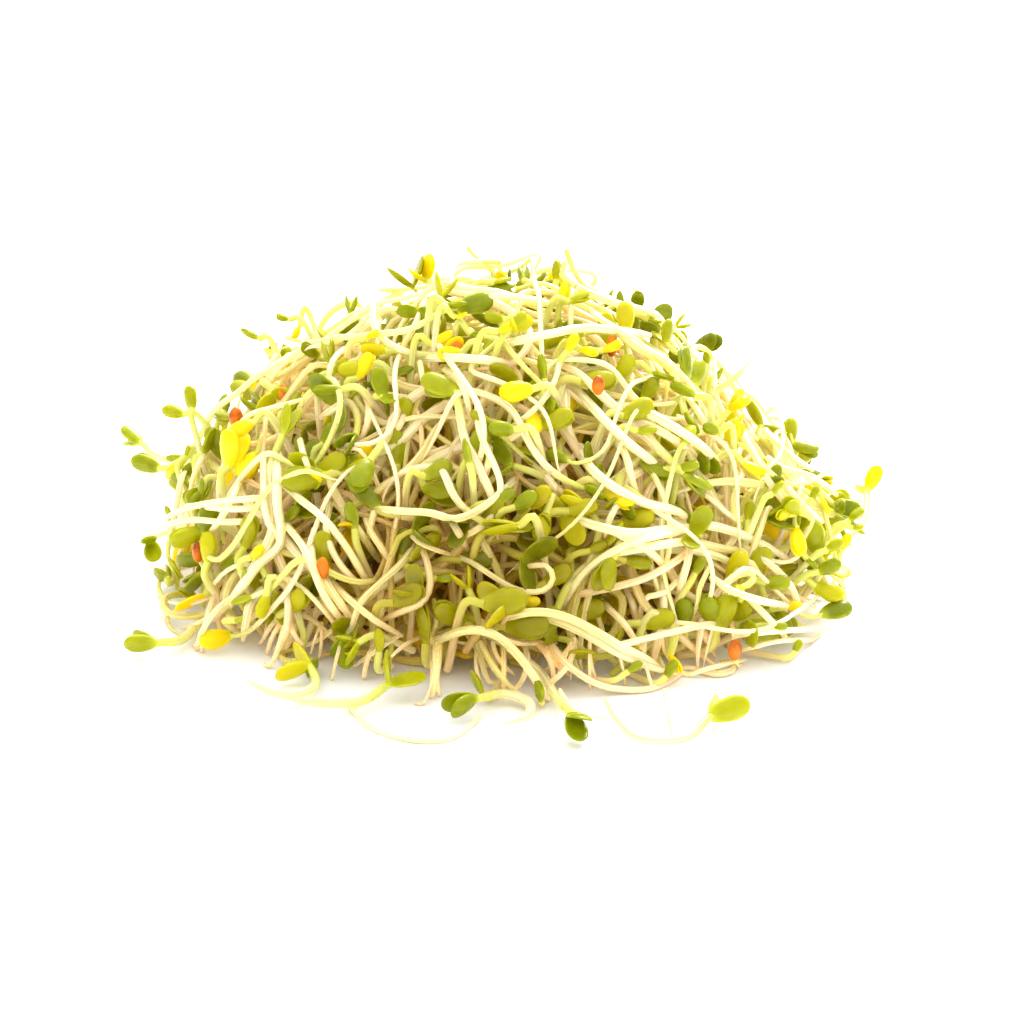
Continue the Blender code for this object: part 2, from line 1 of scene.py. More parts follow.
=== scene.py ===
"""The looks of a heap of fresh alfalfa sprouts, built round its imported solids.

The solids hold the heap's form: a packed heart with leaf pairs standing out of it, a net of stems,
and single sprouts. Here each of them is drawn again, finer and in the same place, and some hundreds
of sprouts more are laid between them, each one resting on what was laid before it. Metres, +Z up.
"""

import math
import random
from collections import namedtuple
from functools import lru_cache

import bmesh
import bpy
import numpy as np
from mathutils import Matrix, Vector


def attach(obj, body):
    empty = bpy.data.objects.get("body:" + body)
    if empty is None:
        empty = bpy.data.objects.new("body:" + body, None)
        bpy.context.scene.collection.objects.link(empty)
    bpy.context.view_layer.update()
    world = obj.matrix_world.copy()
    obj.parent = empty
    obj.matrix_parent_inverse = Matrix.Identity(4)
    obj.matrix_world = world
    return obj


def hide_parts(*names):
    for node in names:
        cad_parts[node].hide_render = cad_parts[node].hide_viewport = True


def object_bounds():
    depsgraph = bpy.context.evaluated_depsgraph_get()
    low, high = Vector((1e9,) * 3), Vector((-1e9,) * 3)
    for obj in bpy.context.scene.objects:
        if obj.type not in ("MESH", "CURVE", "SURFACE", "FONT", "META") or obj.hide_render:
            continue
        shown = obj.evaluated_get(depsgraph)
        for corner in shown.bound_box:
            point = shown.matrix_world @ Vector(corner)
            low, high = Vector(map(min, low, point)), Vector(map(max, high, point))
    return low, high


bl_info = {
    "name": "Alfalfa sprout heap",
    "version": (1, 0, 0),
    "blender": (4, 5, 0),
    "location": "3D View > Sidebar > Sprouts",
    "description": "Builds the fine stems, seed leaves and seed coats of a heap of sprouts, and its stage",
    "category": "Object",
}

MM = 0.001

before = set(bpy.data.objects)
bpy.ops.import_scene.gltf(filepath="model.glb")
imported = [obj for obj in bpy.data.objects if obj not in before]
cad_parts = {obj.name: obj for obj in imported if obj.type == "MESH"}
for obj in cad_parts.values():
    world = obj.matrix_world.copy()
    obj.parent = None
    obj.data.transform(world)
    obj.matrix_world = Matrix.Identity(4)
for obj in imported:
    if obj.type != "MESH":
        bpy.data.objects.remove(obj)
CAD_LOW, CAD_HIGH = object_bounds()
BODY = "root"

# The heap's form, as in the solids
HEART_HALF_WIDTH = 40 * MM
HEART_HALF_DEPTH = 33 * MM
HEART_HEIGHT = 31 * MM
FLANK_POWER = 1.5
HEART_SUNK = 4.5 * MM
HEART_DENT = 3.5 * MM
HEART_DENTS_ROUND = 7
HEART_DENTS_UP = 8
LEVEL = 0.01

# Where the heap bulges or sags: (x, y, reach, height)
SWELLINGS = (
    (-37 * MM, 3 * MM, 9 * MM, 4.0 * MM),
    (31 * MM, 2 * MM, 8 * MM, -3.5 * MM),
    (-10 * MM, -26 * MM, 7 * MM, -1.5 * MM),
    (14 * MM, 22 * MM, 9 * MM, 2.0 * MM),
)
SWELLING_FADE = 5

# Stems, as in the solids
STEM_RADIUS = 0.75 * MM
NECK_RADIUS = 0.58 * MM
ROOT_RADIUS = 0.36 * MM
NECK_STEP = 1.4 * MM
NECK_POINTS = 3
HEAD_OFF_TABLE = 0.9 * MM
TABLE_GAP = 0.05 * MM
FOOT_BLEND = 2.0 * MM
CLEARANCE = 0.35 * MM

# Seed leaves, as in the solids
LEAF_LENGTH = 5.4 * MM
LEAF_WIDTH = 3.0 * MM
LEAF_THICKNESS = 1.0 * MM
LEAF_ARCH = 0.5 * MM
LEAF_SUNK = 0.5 * MM
PAIR_UNEVEN = 6
PAIR_TWIST = 0.15
LEAST_SIDEWAYS = 0.25

# The net of stems over the heart, as in the solids
NET_SEED = 11
NET_STEMS = 74
NET_TRIES = 16
NET_SEGMENTS = 5
NET_LENGTH = (30 * MM, 48 * MM)
NET_FAR = 9 * MM
NET_CROSSING = 0.35 * MM
NET_TURN = (-50, 50)
NET_LIFT = (1.2 * MM, 5.2 * MM)
NET_REACH = 8.5 * MM
NET_START = (-60, 35)
STRIDES = 6
LINE_STEPS = 10

# The leaf pairs that stand out of the heart, as in the solids
SHOOT_SEED = 23
SHOOTS = 36
SHOOT_TRIES = 4000
SHOOT_ROOT_LIFT = -10.0 * MM
SHOOT_TOP_LIFT = (5.0 * MM, 8.5 * MM)
SHOOT_WAIST = 0.25
SHOOT_CLIMB_SINES = (0.1, 1)
SHOOT_CLIMBS = (3, 89)
SHOOT_LEAN = 9
SHOOT_SCALE = (0.85, 1.1)
SHOOT_OPENING = (22, 62)
SHOOT_APART = 0.2 * MM

# The single sprouts, as in the solids
SPROUT_LIFT = 7.0 * MM
ROOT_DIVE = 2.5 * MM
END_SHARES = (1, 0.4)
SPROUT_STEP = 5.0 * MM
RAISE_STEP = 0.3 * MM
MOST_RAISES = 16

# Seed coats, as in the solids
COAT_LENGTH = 2.6 * MM
COAT_WIDTH = 1.7 * MM
COAT_THICKNESS = 1.3 * MM

# Where the balls lie that keep the pieces clear of each other, as in the solids
BALL_SPACING = 0.8 * MM
LEAF_BALL_REACHES = (0.1, 0.3, 0.5, 0.7, 0.9)
LEAF_BALL_SIDES = (-0.65, 0, 0.65)

# The single sprouts. Waypoints run from head to root, each as (bearing, climb) in degrees: bearing 0 is
# the front and 90 the +X side; climb is 0 at the foot of the heap and 90 at its top, and below 0 it is how
# far out on the table the point lies, in millimetres. The leaf pair points at aim, which stands tilt
# millimetres above the head, and the head stands rise millimetres above its layer. The pair is opened by
# opening; roll 0 shows its edges from outside and roll 90 its faces. Leaf is the leaves' scale, and tone
# how yellow they are, from 0, dark green, to 1, bright yellow
Sprout = namedtuple("Sprout", "aim tilt rise opening roll leaf slot tone waypoints")
SPROUTS = {
    "shoulder_left": Sprout((-64, 37), 4, 1, 78, 40, 1.2, "leaf_yellow", 0.95, (
        (-71, 37), (-62, 34), (-54, 33), (-46, 31), (-38, 27), (-30, 22))),
    "fall_left": Sprout((-58, 51), 1, 1, 18, 80, 1.0, "leaf_green", 0.5, (
        (-57, 46), (-55, 41), (-50, 36), (-46, 31), (-47, 24), (-51, 15), (-56, 2))),
    "brow_left": Sprout((-42, 45), 0, 0, 18, 75, 1.0, "leaf_green", 0.38, (
        (-37, 48), (-33, 50), (-29, 53), (-25, 58), (-18, 62), (-7, 63))),
    "bean": Sprout((-31, 41), 1, 2, 14, 65, 1.1, "leaf_green", 0.22, (
        (-31, 47), (-31, 52), (-33, 56), (-30, 61), (-20, 66), (-4, 68))),
    "brow_middle": Sprout((-24, 61), 0, 0, 18, 80, 1.15, "leaf_green", 0.4, (
        (-15, 60), (-13, 57), (-10, 52), (-6, 47), (-3, 42), (-2, 36))),
    "face_left": Sprout((-11, 44), 0, 0, 18, 80, 1.15, "leaf_green", 0.42, (
        (-19, 46), (-21, 49), (-16, 52), (-8, 54), (3, 55), (12, 52))),
    "top_right": Sprout((91, 77), 1, 0, 16, 50, 1.2, "leaf_green", 0.28, (
        (94, 69), (88, 64), (82, 58), (76, 50), (71, 42))),
    "top_hook": Sprout((51, 57), 1, 0, 35, 30, 1.0, "leaf_green", 0.1, (
        (44, 61), (43, 65), (34, 67), (22, 65), (18, 60), (17, 55), (21, 49))),
    "crown": Sprout((-95, 77), 5, 1, 30, 40, 1.0, "leaf_yellow", 0.85, (
        (-114, 76), (-80, 80), (-20, 81), (5, 76), (9, 70), (0, 66), (-14, 67))),
    "brow_right": Sprout((52, 55), 1, 0, 28, 60, 1.15, "leaf_green", 0.4, (
        (64, 54), (55, 52), (49, 49), (46, 44), (47, 38), (53, 31))),
    "face_right": Sprout((41, 38), 0, 0, 14, 60, 1.0, "leaf_green", 0.3, (
        (37, 43), (33, 49), (27, 57), (23, 64), (10, 70))),
    "shoulder_right": Sprout((76, 20), 1, 1, 18, 80, 1.15, "leaf_green", 0.35, (
        (77, 26), (71, 30), (62, 35), (53, 39), (44, 41), (36, 41))),
    "bow": Sprout((8, 39), 4, 0, 75, 10, 1.15, "leaf_yellow", 0.62, (
        (11, 40), (17, 38), (24, 37), (35, 36), (46, 32), (57, 25), (66, 17))),
    "arc": Sprout((5, 20), 0, 0, 30, 60, 1.05, "leaf_green", 0.35, (
        (8, 23), (10, 27), (15, 31), (24, 32), (34, 31), (43, 27), (50, 20))),
    "ribbon": Sprout((-5, 26), 2, 0, 50, 60, 1.2, "leaf_yellow", 0.66, (
        (0, 24), (6, 22), (11, 19), (16, 14), (21, 8), (25, -2))),
    "face_low": Sprout((-27, 10), 0, 0, 30, 50, 1.05, "leaf_green", 0.3, (
        (-26, 15), (-26, 21), (-22, 27), (-17, 32), (-13, 37))),
    "flank_left": Sprout((-99, 25), 5, 7, 14, 10, 1.0, "leaf_green", 0.3, (
        (-98, 24), (-94, 26), (-88, 29), (-82, 31), (-75, 31))),
    "back_fall": Sprout((150, 62), 2, 0, 50, 30, 1.1, "leaf_green", 0.4, (
        (160, 58), (168, 50), (178, 42), (186, 33), (184, 23), (178, 12), (174, 1))),
    "table_front": Sprout((7, -19), 0, 0, 20, 75, 1.15, "leaf_green", 0.2, (
        (7, -13), (6, -5), (5, 5), (2, 12), (-2, 17), (-7, 19), (-12, 17))),
    "table_arc": Sprout((-8, -11), 0, 0, 18, 80, 1.05, "leaf_green", 0.25, (
        (-4, -8), (-0.5, -4.5), (2.5, -7), (2, -12), (-1, -16))),
    "table_right": Sprout((26, -15), 0, 0, 35, 75, 1.2, "leaf_green", 0.5, (
        (21, -17), (17, -20), (13, -19), (12, -15), (12, -9))),
    "table_left": Sprout((-55, -12), 0, 0, 20, 80, 1.0, "leaf_green", 0.42, (
        (-51, -10), (-52, -6), (-56, -2), (-60, 3), (-63, 9))),
    "table_yellow": Sprout((-35, -3), 1, 0.5, 45, 70, 1.1, "leaf_yellow", 0.72, (
        (-29, -3), (-26, -6), (-26, -10), (-29, -12), (-34, -12))),
    "table_pair": Sprout((-13, -1), 3, 0, 45, 20, 1.1, "leaf_green", 0.55, (
        (-16, -4), (-18, -8), (-22, -11), (-27, -13))),
    "table_left_end": Sprout((-91, -3), 0, 0, 30, 20, 1.0, "leaf_green", 0.35, (
        (-97, -4), (-104, -5), (-113, -1), (-117, 4), (-119, 10))),
    "table_back_left": Sprout((-135, -39), 1, 0, 25, 80, 1.0, "leaf_green", 0.3, (
        (-135, -33), (-134, -27), (-136, -21), (-140, -15))),
    "table_far_right": Sprout((126, -19), 2, 0, 55, 20, 0.95, "leaf_yellow", 0.8, (
        (121, -15), (114, -10), (106, -5), (99, 1), (93, 7))),
    "table_back": Sprout((168, -8), 1, 0, 45, 45, 1.1, "leaf_green", 0.45, (
        (162, -5), (156, -3), (150, 0), (144, 5), (139, 9))),
}

# Seed coats of the solids: (bearing, climb, lift in millimetres)
SEED_COATS = {
    "seed_coat_middle": (24, 58, 8.0),
    "seed_coat_left": (-76, 50, 8.0),
}

# Fine shapes: the steps along a stem and a neck, how a stem thins into its tip, how slim the solids' own
# sprouts and net are drawn, and how deep a leaf is beside its scale
FINE_STEP = 1.1 * MM
NECK_FINE_STEP = 0.6 * MM
NECK_STEPS = 5
TIP_LENGTH = 5 * MM
TIP_SHARE = 0.35
SINGLE_SLIM = 0.82
SINGLE_LEAF = 0.85
NET_SLIM = 0.72
LEAF_DEPTH = (0.55, 0.45)
STRAY_SIZE = 1.1
WOBBLE_SCALE = 420.0

# A leaf's outline and section: its width at the foot and how much fuller it gets, as shares of its width,
# and how much flatter it is inside
LEAF_FOOT_WIDTH = 0.79
LEAF_FULLER = 0.42
LEAF_FLATTER = 0.45

# Sides and rings of the meshes, where they aren't sizes that a user would change
SINGLE_SIDES = 2
DEEP_SIDES = 6
DEEP_LEAF = (8, 6)
LAYER_LEAF = (10, 7)
SHOOT_LEAF = (14, 11)
HEART_MESH = (104, 64)
COAT_MESH = (20, 14)

# The grid of heights that the added sprouts rest on, and how a stem bridges its dips
COVER_HALF = 68 * MM
COVER_CELL = 0.5 * MM
CORE_LIFT = -6.5 * MM
BRIDGE_PASSES = 26
BRIDGE_SAG = 0.012 * MM
SMOOTH_PASSES = 3
SLOPE_STEP = 0.2 * MM
BOX_MARGIN = 0.8 * MM

# How an added sprout wanders over the heap: its bend in degrees, its waves, the hook below its head, and
# how few of the uppermost lie at the front, where the traced ones are
FILL_SEED = 5
LEAST_STEPS = 6
MOST_BEND = 120
WAVE = (0, 7)
WAVES = (0.6, 1.5)
HOOK = (1.2, 3.0)
HOOK_SIGNS = (0, 0, 0, 1, -1)
HOOK_SHARE = 0.22
HEAD_REACH = 6 * MM
UPPERMOST = ("outer", "standing")
FRONT_SHARE = 0.3
FRONT_BEARING = 125

# Its leaves: how many sprouts have them, their scale, opening, curl and tone, how far the pair leans
# aside, and the turns outwards that are tried until it clears the heap
LEAFY_SHARE = 0.92
ADDED_LEAF = (0.6, 0.94)
LEAF_OPENINGS = ((5, 10), (6, 14), (12, 30), (28, 70))
LEAF_CURL = (-0.2, 0.5)
LEAF_TONE_RANGES = ((0.0, 0.3), (0.1, 0.5), (0.3, 0.65), (0.6, 1))
YELLOW_TONE = 0.7
LEAN_ASIDE = 0.5
LEAN_UP = (-0.3, 0.8)
LEAF_TURNS = (0.1, 0.3, 0.6, 0.9, 1.2, 1.6, 2.2, 3.0)
SUNK_LEAF = 0.8 * MM
LEAF_OFF_TABLE = LEAF_WIDTH / 3

# Painted shade: how brightly the solids' own pieces and the hidden leaf pairs are coloured, 1 being full
# light
NET_SHADE = 0.7
SHOOT_SHADE = 0.8
BEHIND_SHADE = 0.75
SHOOT_TONE = (0.05, 0.75)

# Layers of added sprouts. Lengths, arches, rises and dives are ranges or sizes in millimetres, radius
# is a share of the solids' radii, across is how far in degrees a sprout may turn from the level, and
# shade is painted shade: 0 for the dim ones deep in the heap, 1 for those in full light
Layer = namedtuple("Layer", "name count ceiling over length radius rise arch dive across tries shade")
LAYERS = (
    Layer("deep", 190, 0.4, 1.6, (22, 40), (0.45, 0.9), (0, 1.5), (0, 0), 0, 90, 6, 0.0),
    Layer("inner", 130, 3.0, 2.0, (9, 16), (0.55, 0.85), (0, 2.0), (0, 0), 5, 90, 6, 0.3),
    Layer("middle", 250, 6.2, 2.6, (20, 42), (0.4, 0.8), (0, 2.5), (0, 1.0), 0, 90, 10, 0.6),
    Layer("heads", 130, 7.5, 2.4, (9, 16), (0.55, 0.85), (0, 2.0), (0, 0), 6, 90, 8, 0.8),
    Layer("outer", 240, 8.6, 3.2, (16, 42), (0.34, 0.74), (0.5, 3.0), (0, 3.0), 1.5, 80, 12, 1.0),
    Layer("standing", 44, 8.6, 3.0, (8, 14), (0.5, 0.75), (2.0, 5.0), (0, 0), 6, 90, 3, 1.0),
)
PACKED_LAYERS = ("deep", "inner")
LAYER_REACH = 1.06
MOSTLY = 85

# The camera, which looks along +Y and down on the heap
CAMERA_LENS = 84.1
CAMERA_SENSOR = 36
CAMERA_NEAREST = 10 * MM
CAMERA_DISTANCE = 330 * MM
CAMERA_TARGET = Vector((0.4, 0, 8.8)) * MM
CAMERA_RISE = math.radians(20)
CAMERA_BACK = Vector((0, -math.cos(CAMERA_RISE), math.sin(CAMERA_RISE)))
CAMERA_UP = Vector((0, math.sin(CAMERA_RISE), math.cos(CAMERA_RISE)))
CAMERA_RIGHT = Vector((1, 0, 0))
CAMERA_EYE = CAMERA_TARGET + CAMERA_BACK * CAMERA_DISTANCE
PICTURE = 1024
PIXELS_PER_LENS = PICTURE * CAMERA_LENS / CAMERA_SENSOR
PIXELS_PER_LENGTH = PIXELS_PER_LENS / CAMERA_DISTANCE

# How the camera's sight is followed to the heap: its steps, and how far back it may find the heap
SEEN_STEP = 0.3 * MM
SEEN_DEEPEST = 30 * MM

# A stem that is laid along the sight: its steepest slope, how its ends dive into the heap, how it thins to
# its tip, and its thickness beside the one that is given
SEEN_SLOPE = 1.2
SEEN_DIVE = 4.0 * MM
SEEN_DIVE_POINTS = 5
SEEN_TIP = 0.6
SEEN_SLIM = 0.9

# A leaf pair that is laid along the sight: how much nearer than the heap it is, the least that it points
# outwards, how its neck runs into the heap, how thick the neck is beside the leaf's scale, how it faces
# the camera, its curl, and how deep it lies behind the stems
HEAD_NEARER = 1.0 * MM
HEAD_UP = 0.15
HEAD_ROOT = 0.9
HEAD_DIVE = 5 * MM
HEAD_BEND = 2.5 * MM
HEAD_NECK = (0.62, 0.3)
HEAD_FACING = 0.5
HEAD_CURL = (-0.1, 0.3)
BEHIND = 1.6 * MM

# The heap in the picture, in pixels: its upper edge, its foot, and the hollow in its middle
UPPER_EDGE = (
    (150, 200, 250, 300, 350, 400, 450, 500, 550, 600, 650, 700, 750, 800, 850, 900),
    (430, 385, 345, 325, 305, 295, 280, 272, 265, 280, 300, 330, 375, 420, 450, 480),
)
FOOT_MIDDLE = (505, 520)
FOOT_HALF = 380
FOOT_DROP = 150
HOLLOW = (500, 540, 150, 85)
PATH_STEPS = 8

# Long stems that sweep over the front, in pixels and degrees: how far from the middle and between which
# rows they start, which way they flow, their bend, and the room that they leave round a single sprout's
# leaves
SWEEPS = 70
SWEEP_HALF = 345
SWEEP_TOP = 320
SWEEP_LOW = 480
SWEEP_ABOVE = 25
SWEEP_FLOW = ((200, 400, 640, 850), (-112, -72, -38, -30))
SWEEP_SPREAD = 30
SWEEP_LENGTH = (70, 190)
SWEEP_BEND = 85
SWEEP_WAVE = 4
SWEEP_THICK = (4.5, 8.0)
SWEEP_TONE = (0.0, 0.9)
HEAD_CLEAR = 17

# Thin root tips that stick out at the foot, in pixels and degrees
TIPS = 46
TIP_HALF = 340
TIP_SPREAD = 28
TIP_FAN = 0.12
TIP_ABOVE = 28
TIP_REACH = (30, 75)
TIP_THICK = (3.0, 6.5)
TIP_TONE = (0.5, 1.0)

# Stems that are laid where the picture shows them: the thickness, the tone, and the places from the head
# to the root. Thicknesses and places are in pixels, from the picture's upper left corner. Tone 0 is green,
# 0.35 cream, 0.7 the stem colour, and 1 tan
SEEN_STEMS = (
    (10, 0.4, ((278, 455), (277, 500), (281, 530), (278, 548), (258, 565), (240, 590), (230, 606))),
    (8, 0.35, ((284, 484), (300, 499), (322, 517), (345, 545), (372, 590))),
    (8, 0.5, ((282, 520), (300, 542), (311, 563), (320, 587), (335, 612), (347, 624))),
    (7, 0.6, ((314, 530), (312, 550), (316, 575), (332, 597))),
    (5, 0.5, ((258, 566), (240, 565), (225, 572), (215, 583), (206, 593))),
    (9, 0.4, ((262, 590), (250, 604), (246, 622), (243, 640))),
    (8, 0.95, ((286, 577), (288, 600), (286, 632), (275, 655))),
    (5, 0.6, ((286, 577), (270, 588), (250, 598), (232, 602))),
    (5, 0.5, ((290, 579), (308, 593), (325, 612), (336, 626))),
    (7, 0.7, ((275, 497), (235, 500), (195, 506), (165, 518))),
    (7, 0.6, ((272, 507), (230, 509), (188, 505))),
    (7, 0.8, ((262, 521), (222, 522), (190, 520), (150, 530))),
    (7, 0.5, ((330, 504), (326, 530), (335, 556), (350, 576), (369, 591))),
    (8, 0.1, ((336, 503), (352, 521), (366, 541), (379, 561))),
    (8, 0.6, ((520, 474), (505, 489), (480, 509), (455, 519), (430, 513), (400, 511), (363, 508))),
    (7, 0.6, ((363, 508), (370, 530), (385, 553), (399, 573))),
    (7, 0.4, ((415, 545), (400, 565), (380, 583), (362, 601), (354, 620), (350, 640))),
    (7, 0.95, ((421, 545), (428, 565), (430, 586), (421, 603), (400, 612), (383, 620))),
    (5, 0.5, ((407, 530), (418, 542), (436, 550), (456, 556))),
    (6, 0.6, ((456, 556), (471, 562), (491, 575), (511, 587), (531, 592), (546, 589), (553, 578), (547, 566),
              (532, 566), (514, 569))),
    (8, 0.4, ((450, 519), (460, 535), (468, 551))),
    (5, 0.7, ((535, 574), (533, 590), (516, 605), (505, 620), (494, 633))),
    (9, 0.5, ((320, 566), (331, 590), (346, 611), (357, 627))),
    (7, 0.6, ((328, 578), (350, 600), (376, 621), (402, 636))),
    (7, 0.05, ((385, 596), (380, 616), (369, 636))),
    (5, 0.1, ((434, 600), (437, 620), (429, 640))),
    (10, 0.4, ((572, 385), (600, 415), (626, 441), (651, 461), (668, 480))),
    (10, 0.5, ((580, 447), (591, 468), (615, 488), (645, 503), (676, 511), (691, 521))),
    (6, 0.5, ((575, 455), (563, 466), (552, 480))),
    (9, 0.4, ((540, 470), (550, 481), (563, 498))),
    (8, 0.5, ((616, 441), (626, 456), (632, 480), (638, 496))),
    (8, 0.95, ((690, 538), (688, 560), (682, 582), (676, 612))),
    (8, 0.95, ((690, 550), (670, 565), (640, 580), (600, 590), (560, 598))),
    (6, 0.6, ((682, 575), (665, 592), (645, 598), (641, 610), (640, 625))),
    (6, 0.8, ((626, 590), (633, 605), (636, 622))),
    (6, 0.05, ((713, 560), (705, 576), (699, 590), (697, 606), (689, 622))),
    (8, 0.1, ((741, 475), (734, 500), (734, 528))),
    (8, 0.6, ((712, 578), (732, 591), (762, 601), (792, 607))),
    (5, 0.7, ((705, 495), (718, 505), (731, 516), (746, 526))),
    (9, 0.95, ((785, 485), (802, 506), (822, 522))),
    (6, 0.7, ((730, 636), (770, 632), (822, 628))),
    (5, 0.95, ((742, 650), (780, 641), (820, 640))),
    (8, 0.6, ((560, 620), (590, 630), (621, 646), (650, 661), (666, 676))),
    (7, 0.95, ((548, 640), (568, 665), (600, 685), (640, 690), (682, 685))),
    (5, 0.6, ((680, 681), (700, 671), (730, 663), (746, 660))),
    (6, 0.1, ((480, 640), (490, 661), (505, 681), (516, 691))),
    (4, 0.95, ((430, 650), (432, 680), (425, 701), (415, 716))),
    (6, 0.5, ((345, 700), (370, 726), (400, 738), (440, 741), (480, 731))),
    (4, 0.9, ((560, 690), (571, 706), (586, 716), (606, 718))),
    (4, 0.9, ((664, 690), (668, 716), (672, 736))),
    (6, 0.4, ((585, 350), (562, 359), (556, 378), (545, 398), (528, 415), (508, 430))),
    (7, 0.4, ((445, 370), (457, 378), (466, 395), (470, 418))),
    (6, 0.6, ((420, 362), (423, 380), (427, 395))),
    (9, 0.5, ((500, 345), (545, 335), (590, 328), (650, 335))),
    (9, 0.6, ((425, 358), (460, 358), (500, 362), (515, 368))),
    (9, 0.4, ((362, 398), (340, 405), (318, 420))),
    (8, 0.5, ((369, 400), (367, 425), (360, 440))),
    (6, 0.4, ((358, 343), (340, 352), (330, 368), (328, 400))),
    (7, 0.5, ((455, 445), (435, 452), (415, 459))),
    (6, 0.7, ((420, 462), (420, 490))),
    (10, 0.6, ((615, 405), (640, 410), (670, 425), (700, 445), (720, 465))),
    (9, 0.95, ((618, 417), (645, 424), (672, 438), (696, 456))),
    (6, 0.7, ((720, 430), (728, 450), (731, 465))),
    (7, 0.5, ((640, 345), (668, 362), (690, 385), (700, 410))),
    (8, 0.6, ((735, 425), (752, 450), (768, 480), (790, 510))),
    (7, 0.7, ((765, 430), (790, 455), (812, 470))),
    (7, 0.8, ((690, 400), (706, 425), (716, 450))),
    (7, 0.5, ((380, 320), (368, 345), (350, 372))),
    (7, 0.5, ((425, 300), (415, 325), (400, 352))),
    (7, 0.5, ((468, 300), (500, 296), (535, 300), (560, 308))),
    (7, 0.6, ((590, 310), (605, 322), (632, 338), (650, 352))),
    (7, 0.5, ((240, 395), (232, 420), (226, 440))),
    (7, 0.6, ((212, 440), (196, 470), (190, 492))),
    (7, 0.5, ((240, 480), (226, 510), (205, 540))),
    (7, 0.9, ((600, 650), (640, 640), (690, 628), (730, 620))),
    (9, 0.6, ((585, 555), (620, 552), (660, 545), (695, 540))),
    (8, 0.7, ((740, 545), (765, 560), (790, 585), (800, 610))),
    (7, 0.7, ((490, 440), (488, 465), (480, 490))),
    (7, 0.6, ((545, 420), (520, 432), (498, 450))),
    (7, 0.6, ((380, 490), (372, 520), (366, 548))),
    (7, 0.5, ((300, 440), (306, 462), (318, 485))),
    (7, 0.6, ((410, 400), (400, 425), (385, 445))),
    (8, 0.8, ((585, 520), (620, 535), (650, 552), (672, 575))),
    (7, 0.8, ((600, 600), (625, 625), (640, 650))),
    (7, 0.8, ((750, 600), (770, 620), (788, 640))),
    (10, 0.4, ((566, 512), (590, 524), (630, 533), (665, 530), (694, 526))),
    (8, 0.4, ((559, 612), (578, 580), (604, 557), (640, 540), (692, 529))),
    (9, 0.35, ((500, 619), (534, 612), (568, 618), (610, 640), (650, 668))),
    (9, 0.35, ((434, 641), (470, 630), (500, 638), (528, 668), (552, 708))),
)

